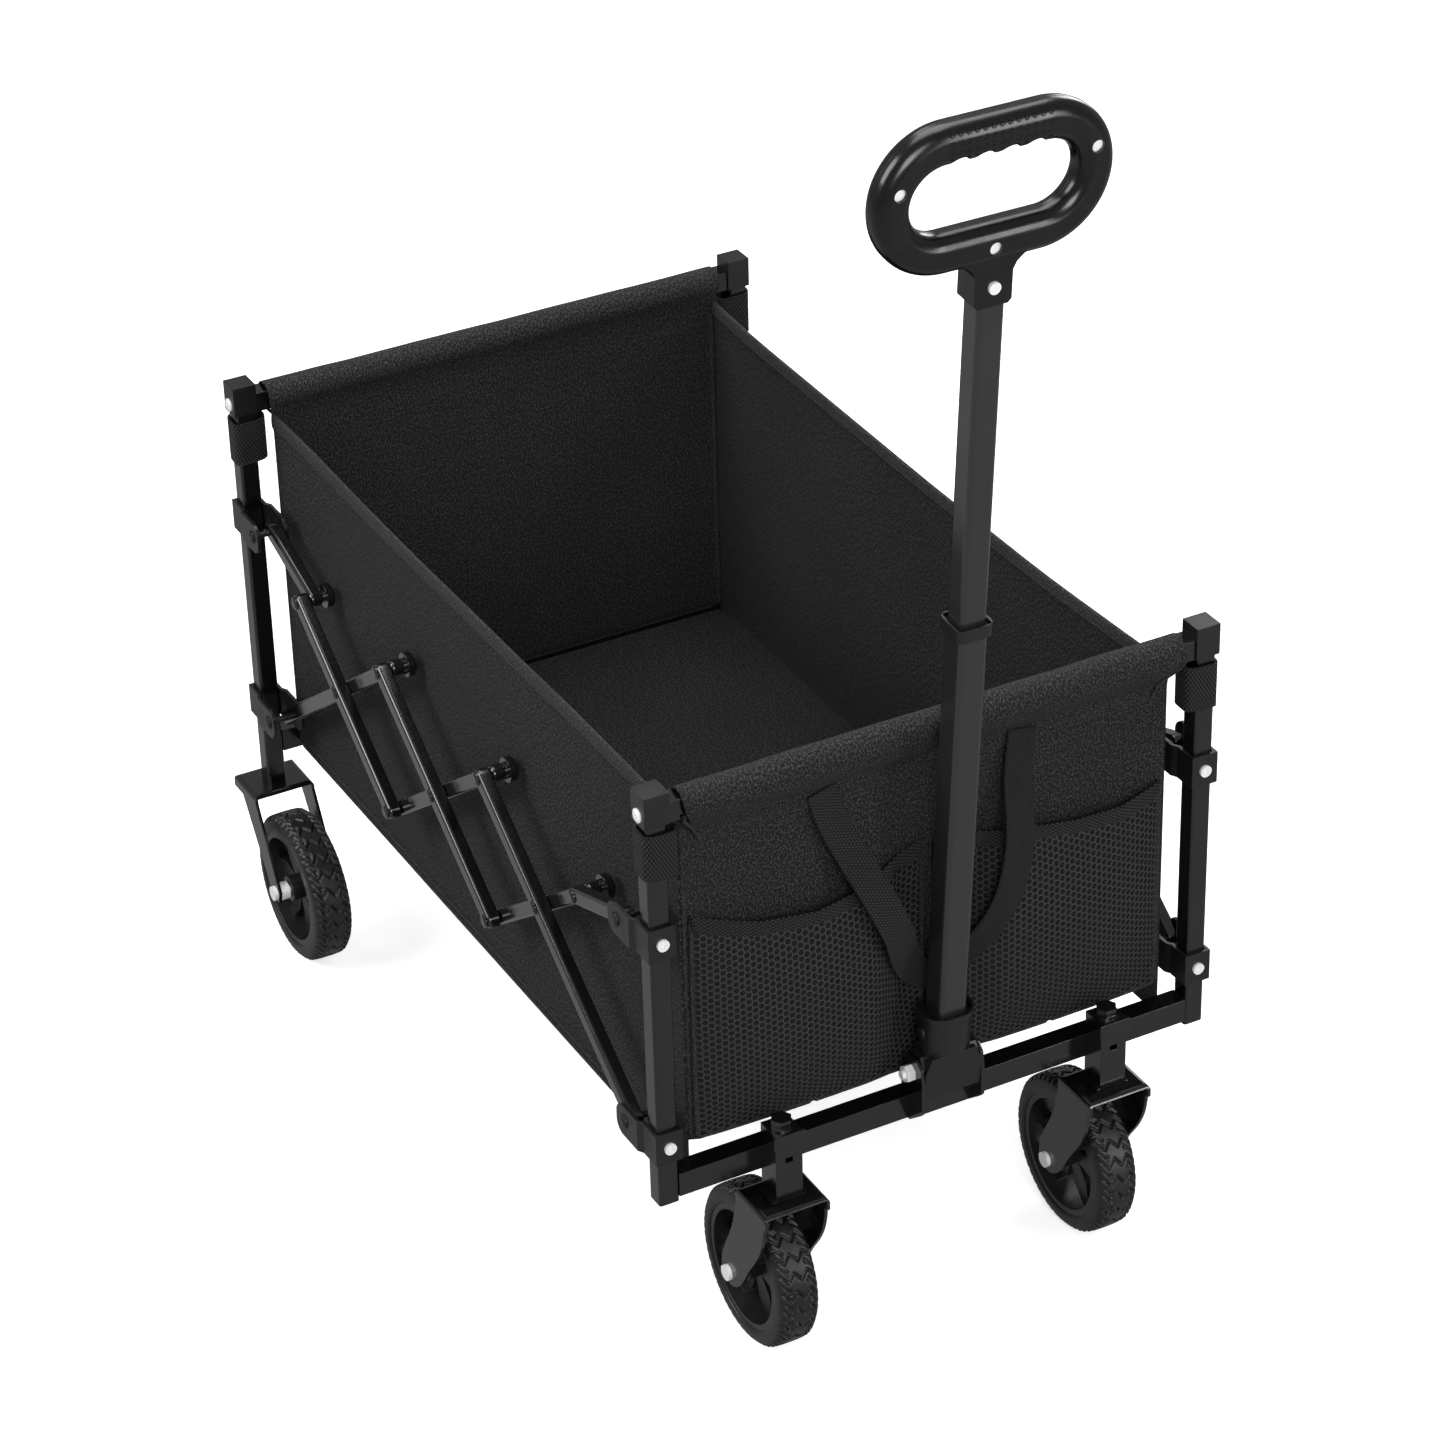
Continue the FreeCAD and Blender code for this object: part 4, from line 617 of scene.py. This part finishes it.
def side_panel(side, hand):
    """A side wall: a sheet whose top sags as a shallow parabola and whose middle bellies inwards."""
    y = np.linspace(-1, 1, 190)
    v = np.linspace(0, 1, 84)
    half = 0.3862
    foot, top = BASE + 0.0105, BASE + 0.3505
    sag = 0.006 * (1 - y**2)
    points = np.zeros((len(v), len(y), 3))
    points[..., 1] = MID + half * y[None]
    points[..., 2] = foot + (top - sag - foot)[None] * v[:, None]
    belly = np.sin(math.pi * v)[:, None] * (1 - y[None] ** 6)
    rim = v[:, None] ** 5 * (1 - y[None] ** 4)
    uneven = wander(points[..., 1], points[..., 2], 21 if hand > 0 else 22)
    rim_wave = wander(points[..., 1] * 0.8, 0.0, 5)
    inward = belly * (0.0030 + 0.0020 * uneven) + rim * (0.0035 + 0.0012 * rim_wave)
    points[..., 0] = hand * (HALF_TUB - inward)
    item = cloth(f"side_panel_cloth_{side}", points if hand > 0 else points[:, ::-1], CLOTH_THICK, OXFORD)
    edge = points[-1]
    leg = [(0.0016, 0.0), (0.0019, -0.006), (0.0017, -0.011)]
    over = smooth_path([(-a, b) for a, b in leg[::-1]] + [(0.0, 0.0012)] + leg, 19)
    binding = np.zeros((len(over), len(edge), 3))
    binding[..., 0] = edge[None, :, 0] + over[:, 0:1]
    binding[..., 1] = edge[None, :, 1]
    binding[..., 2] = edge[None, :, 2] + over[:, 1:2]
    pieces = [cloth(f"side_binding_{side}", binding, 0.0009, TAPE)]
    for k, across in enumerate((-0.0026, 0.0026)):
        row = edge + np.array([across, 0, -0.0085])
        pieces.append(stitches(f"side_binding_stitch_{side}_{k}", row[::4], THREAD))
    foot_line = points[0]
    for k, (across, up, size) in enumerate(((0.0007, 0.0, 0.0021), (0.0009, 0.0075, 0.0015))):
        row = foot_line + np.array([hand * across, 0, up])
        pieces.append(cord_of(f"side_hem_{side}_{k}", row[::2], size, TAPE))
    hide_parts(f"tub_{side}_panel")
    for piece in [item, *pieces]:
        fold_with_tub(piece)


def floor_pad():
    """The floor: a rounded slab whose top is (1 - x^8)(1 - y^12) full with a slight quilted unevenness."""
    u = np.linspace(-1, 1, 120)
    v = np.linspace(-1, 1, 200)
    start, stop, half_x, thick = MID - END_TUB + STEP_LENGTH, MID + END_TUB - 0.0012, 0.2212, 0.008
    middle, half_y = (start + stop) / 2, (stop - start) / 2
    a, b = np.meshgrid(u, v, indexing="ij")
    full = (1 - a**14) * (1 - b**22)
    sheets = []
    for way in (1, -1):
        z = FLOOR_TOP - thick / 2 + way * (thick / 2 - 0.0005) * np.sqrt(np.clip(full, 0, 1))
        if way > 0:
            z = z - 0.0006 * (1 + wander(a * half_x, b * half_y, 41))
        sheets.append(np.stack([a * half_x, middle + b * half_y, z], -1))
    rows, columns = a.shape
    inner = quads(rows, columns)
    points = np.concatenate([sheets[0].reshape(-1, 3), sheets[1].reshape(-1, 3)])
    ids = np.arange(rows * columns).reshape(rows, columns)
    loop = np.concatenate([ids[0, :], ids[1:, -1], ids[-1, -2::-1], ids[-2::-1, 0]])[::-1]
    rim = np.stack([loop[:-1], loop[1:], loop[1:] + rows * columns, loop[:-1] + rows * columns], -1)[:, ::-1]
    uv = np.stack([a * half_x, b * half_y], -1).reshape(-1, 2)
    faces = np.concatenate([inner, inner[:, ::-1] + rows * columns, rim])
    item = add_mesh("floor_pad", points, faces, LINING, np.concatenate([uv, uv]))
    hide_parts("tub_floor")
    fold_with_tub(item)


def front_step():
    """The cloth that slopes from the front wall's hem down to the floor pad: straight with an eased start."""
    t = np.linspace(0, 1, 24)
    x = np.linspace(-0.2212, 0.2212, 90)
    points = np.zeros((24, 90, 3))
    points[..., 0] = x[None]
    points[..., 1] = (MID - END_TUB + 0.0006 + (STEP_LENGTH + 0.006) * t)[:, None]
    ripple = 0.0006 * wander(x * 2, 0.0, 71)[None] * np.sin(math.pi * t)[:, None]
    points[..., 2] = (BASE + 0.0425 - 0.0195 * t**1.15)[:, None] + ripple
    item = cloth("front_step_cloth", points[::-1], 0.0014, OXFORD)
    fold_with_tub(item)


def fold_with_tub(piece):
    """The piece rides on the front frame and shortens towards the front wall as the frame folds."""
    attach(piece, "front_frame")
    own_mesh(piece)


def pocket_top(x, hand):
    """Height of a pocket's bound top edge at x: high at the post, low further in, rising to the middle."""
    out = np.clip(x * hand, 0, 0.23)
    if hand < 0:
        at, high = [0.0, 0.03, 0.06, 0.109, 0.16, 0.22], [0.447, 0.438, 0.424, 0.4165, 0.423, 0.443]
    else:
        at, high = [0.0, 0.03, 0.08, 0.13, 0.175, 0.22], [0.447, 0.440, 0.4325, 0.424, 0.421, 0.430]
    return np.interp(out, at, high)


def mesh_pocket(side, hand):
    """A mesh pocket: bulge 24 mm sin-shaped across and skewed low, flat behind the handle's foot,
    closed to the panel round its sides and foot."""
    face = MID - END_TUB - 0.0022
    x = hand * np.linspace(0.008, 0.2165, 96)
    t = np.linspace(0, 1, 80)
    top = pocket_top(x, hand)
    s = np.linspace(0, 1, 96)
    clear = np.clip((np.abs(x) - 0.020) / 0.045, 0, 1)
    across = np.clip(np.sin(math.pi * s), 0, 1) ** 0.5 * clear**2 * (3 - 2 * clear)
    up = np.interp(t, [0, 0.12, 0.35, 0.6, 0.85, 1.0], [0.06, 0.62, 0.98, 1.0, 0.78, 0.42])
    up = np.convolve(np.pad(up, 6, mode="edge"), np.ones(13) / 13, "valid")
    points = np.zeros((80, 96, 3))
    points[..., 0] = x[None]
    points[..., 2] = POCKET_FOOT + (top - POCKET_FOOT)[None] * t[:, None]
    bulge = up[:, None] * across[None]
    crumple = wander(points[..., 0], points[..., 2], 61 + hand)
    points[..., 1] = face - POCKET_BULGE * bulge - 0.0009 * crumple * bulge
    item = cloth(f"mesh_pocket_{side}", points if hand > 0 else points[:, ::-1], 0.0007, HEX_MESH)
    edge = points[-1]
    fold = [(0.0016, -0.012), (0.0016, -0.004), (0.0, 0.0016), (-0.0016, -0.004), (-0.0016, -0.012)]
    over = smooth_path(fold, 15)
    binding = np.zeros((len(over), len(edge), 3))
    binding[..., 0] = edge[None, :, 0]
    binding[..., 1] = edge[None, :, 1] + over[:, 0:1]
    binding[..., 2] = edge[None, :, 2] + over[:, 1:2]
    trim = [cloth(f"pocket_binding_{side}", binding, 0.001, WEBBING)]
    border = np.concatenate([points[::-1, 0], points[0], points[:, -1]]) + np.array([0, -0.0004, 0])
    trim.append(cord_of(f"pocket_edge_{side}", border[::3], 0.0018, TAPE))
    for piece in [item, *trim]:
        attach(piece, "front_frame")
    return item


def pull_strap():
    """The webbing strap sewn under the flap that hangs in a U behind the handle."""
    face = MID - END_TUB - 0.003
    corners = [
        (-0.099, face - 0.002, 0.523), (-0.091, face - 0.004, 0.494), (-0.076, face - 0.011, 0.458),
        (-0.060, face - 0.025, 0.420), (-0.045, face - 0.0275, 0.384), (-0.031, face - 0.014, 0.350),
        (-0.015, face - 0.004, 0.325), (0.005, face - 0.003, 0.317), (0.026, face - 0.005, 0.326),
        (0.045, face - 0.017, 0.352), (0.059, face - 0.0275, 0.392), (0.069, face - 0.025, 0.436),
        (0.077, face - 0.008, 0.482), (0.084, face - 0.002, 0.523),
    ]
    path = smooth_path(corners, 150)
    ahead = np.gradient(path, axis=0)
    ahead /= np.linalg.norm(ahead, axis=1, keepdims=True)
    out = np.array([0.0, -1.0, 0.0])
    side = np.cross(ahead, out)
    side /= np.linalg.norm(side, axis=1, keepdims=True)
    width = np.linspace(-STRAP_WIDTH / 2, STRAP_WIDTH / 2, 15)
    points = path[:, None] + side[:, None] * width[None, :, None]
    item = cloth("pull_strap", points, CLOTH_THICK, WEBBING)
    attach(item, "front_frame")


def post_loop(end, way, side, hand):
    """A webbing loop round a post: a rounded square band, longer towards the tub's corner."""
    x0, y0 = hand * HALF_WIDTH, MID + way * HALF_LENGTH
    turn = np.linspace(0, 2 * math.pi, 72, endpoint=False)
    c, s = np.cos(turn), np.sin(turn)
    power = 0.45
    px = np.sign(c) * np.abs(c) ** power * 0.0112
    py = np.sign(s) * np.abs(s) ** power * 0.0112
    towards = np.clip(-px * hand / 0.0112, 0, 1)
    px = px - hand * towards * 0.0075
    z = np.linspace(BASE + 0.312, BASE + 0.3525, 16)
    points = np.zeros((72, 16, 3))
    points[..., 0] = x0 + px[:, None] + 0.0004 * np.sin(turn * 3)[:, None]
    points[..., 1] = y0 + py[:, None]
    points[..., 2] = z[None] + 0.0012 * np.sin(turn + way)[:, None]
    item = cloth(f"post_loop_{end}_{side}", points, 0.0018, WEBBING, True)
    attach(item, f"{end}_frame")


for end_name, end_way in (("front", -1), ("rear", 1)):
    end_panel(end_name, end_way)
    for side_name, side_hand in SIDES:
        post_loop(end_name, end_way, side_name, side_hand)
for side_name, side_hand in SIDES:
    side_panel(side_name, side_hand)
floor_pad()
front_step()
pockets = [mesh_pocket(side_name, side_hand) for side_name, side_hand in SIDES]
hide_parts("tub_front_pockets")
pull_strap()

# ---------------------------------------------------------------- tyres


def tyre(name, x, y, body):
    """A moulded tyre: section swept round the axle; the tread stands 2.4 mm proud of zigzag grooves.
    A groove is where the angle plus a triangle wave across the tread comes near a whole number of pitches."""
    around, half = 1080, TYRE_HALF
    section = np.array([
        (0.0560, -half), (0.0600, -half), (0.0640, -half + 0.0002),
        (0.0665, -half + 0.0008), (0.0690, -half + 0.0030),
    ])
    tread = np.linspace(-half + 0.0045, half - 0.0045, 34)
    crown = [(WHEEL_R - 0.0003 - 0.0016 * abs(w / half) ** 3, w) for w in tread]
    section = np.concatenate([section, crown, section[::-1] * [1, -1]])
    radius, across = section[:, 0], section[:, 1]
    angle = np.linspace(0, 2 * math.pi, around, endpoint=False)
    run = angle[:, None] * TREAD_COUNT / (2 * math.pi)
    w = across[None] / half
    zigzag = 0.46 * np.abs(((w * 3.0 + 0.5) % 2) - 1)
    phase = (run + zigzag) % 1
    groove = np.exp(-((np.minimum(phase, 1 - phase)) / 0.095) ** 6)
    split = (run + 0.5 + zigzag) % 1
    notch = np.exp(-((np.minimum(split, 1 - split)) / 0.06) ** 4) * (np.abs(w) > 0.42)
    diamond = np.exp(-((np.abs(np.abs(w) - 0.5)) / 0.05) ** 4) * (np.abs(phase - 0.5) < 0.22)
    cut = np.clip(groove + 0.8 * notch + 0.6 * diamond, 0, 1)
    shoulder = np.clip((radius[None] - 0.0655) / 0.003, 0, 1)
    r = radius[None] - TREAD_DEPTH * cut * shoulder
    ahead, high = y + r * np.cos(angle)[:, None], WHEEL_R + r * np.sin(angle)[:, None]
    points = np.stack([x + across[None] + 0 * r, ahead, high], -1)
    item = add_mesh(name, points.reshape(-1, 3), quads(around, len(section), True, True)[:, ::-1], RUBBER)
    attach(item, body)
    return item


stem_y = MID - HALF_LENGTH - 0.009 - 0.01225
for side_name, side_hand in SIDES:
    for end_name, at_x, at_y in (
        ("front", 0.154, stem_y + 0.041), ("rear", 0.250, MID + HALF_LENGTH - 0.057)
    ):
        made = tyre(f"tyre_{end_name}_{side_name}", side_hand * at_x, at_y, f"wheel_{end_name}_{side_name}")
        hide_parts(f"wheel_tyre_{end_name}_{side_name}")

# ---------------------------------------------------------------- floor, light and camera


def ground():
    """A pale floor with a very faint speckle; it stays white to the eye and throws little light upwards."""
    mesh = bpy.data.meshes.new("studio_floor")
    size = 14.0
    corners = [(-size, -size, 0), (size, -size, 0), (size, size, 0), (-size, size, 0)]
    mesh.from_pydata(corners, [], [(0, 1, 2, 3)])
    item = bpy.data.objects.new("studio_floor", mesh)
    bpy.context.scene.collection.objects.link(item)
    paint, n, shader = material("pale floor")
    speckle = n.noise(n.object_place(), 60.0, 2.0)
    seen = n.add("ShaderNodeLightPath").outputs["Is Camera Ray"]
    pale = n.mix(speckle, (0.90, 0.90, 0.90, 1), (0.93, 0.93, 0.93, 1))
    shade(
        n, shader, Base_Color=n.mix(seen, (0.14, 0.14, 0.14, 1), pale), Roughness=0.9, Specular_IOR_Level=0.0,
        Emission_Color=(1, 1, 1, 1), Emission_Strength=n.sum("MULTIPLY_ADD", seen, 0.42, 0.20),
    )
    mesh.materials.append(paint)


def softbox(name, place, target, size, power, tall=None):
    """An area light that faces a point."""
    lamp = bpy.data.lights.new(name, "AREA")
    lamp.shape = "RECTANGLE"
    lamp.size, lamp.size_y = size, tall or size
    lamp.energy = power
    item = bpy.data.objects.new(name, lamp)
    item.location = place
    item.rotation_mode = "QUATERNION"
    item.rotation_quaternion = (Vector(target) - Vector(place)).to_track_quat("-Z", "Y")
    bpy.context.scene.collection.objects.link(item)


def world_light():
    """An even pale surround."""
    world = bpy.data.worlds.new("surround")
    bpy.context.scene.world = world
    world.use_nodes = True
    background = world.node_tree.nodes["Background"]
    background.inputs["Color"].default_value = (1.0, 1.0, 1.0, 1)
    background.inputs["Strength"].default_value = 0.30


def stand_camera():
    """The camera: where it stands, which way it looks and how far it is rolled."""
    place = Vector((-1.54941, MID - 3.00693, 2.40934))
    a, e, roll = math.radians(-27.5606), math.radians(31.3601), math.radians(1.58138)
    back = Vector((math.sin(a) * math.cos(e), -math.cos(a) * math.cos(e), math.sin(e)))
    side = (-back).cross(Vector((0, 0, 1))).normalized()
    up = side.cross(-back)
    right = side * math.cos(roll) - up * math.sin(roll)
    top = side * math.sin(roll) + up * math.cos(roll)
    lens = bpy.data.cameras.new("camera")
    lens.sensor_width = 36.0
    lens.lens = 113.18
    item = bpy.data.objects.new("camera", lens)
    item.matrix_world = Matrix.Translation(place) @ Matrix((right, top, back)).transposed().to_4x4()
    bpy.context.scene.collection.objects.link(item)
    bpy.context.scene.camera = item


ground()
world_light()
softbox("key", (-2.6, 0.5, 2.5), (0, 0, 0.4), 1.7, 66)
softbox("top", (0.4, 0.6, 3.4), (0, 0, 0.3), 2.2, 60)
softbox("rim", (2.6, 1.8, 1.8), (0, 0, 0.4), 0.9, 30, 1.8)
softbox("front", (-0.9, -3.2, 2.2), (0, 0, 0.4), 1.5, 62)
softbox("strip", (1.5, -3.0, 0.9), (0, 0, 0.4), 0.35, 22, 1.8)
stand_camera()
bpy.context.scene.view_settings.view_transform = "Standard"
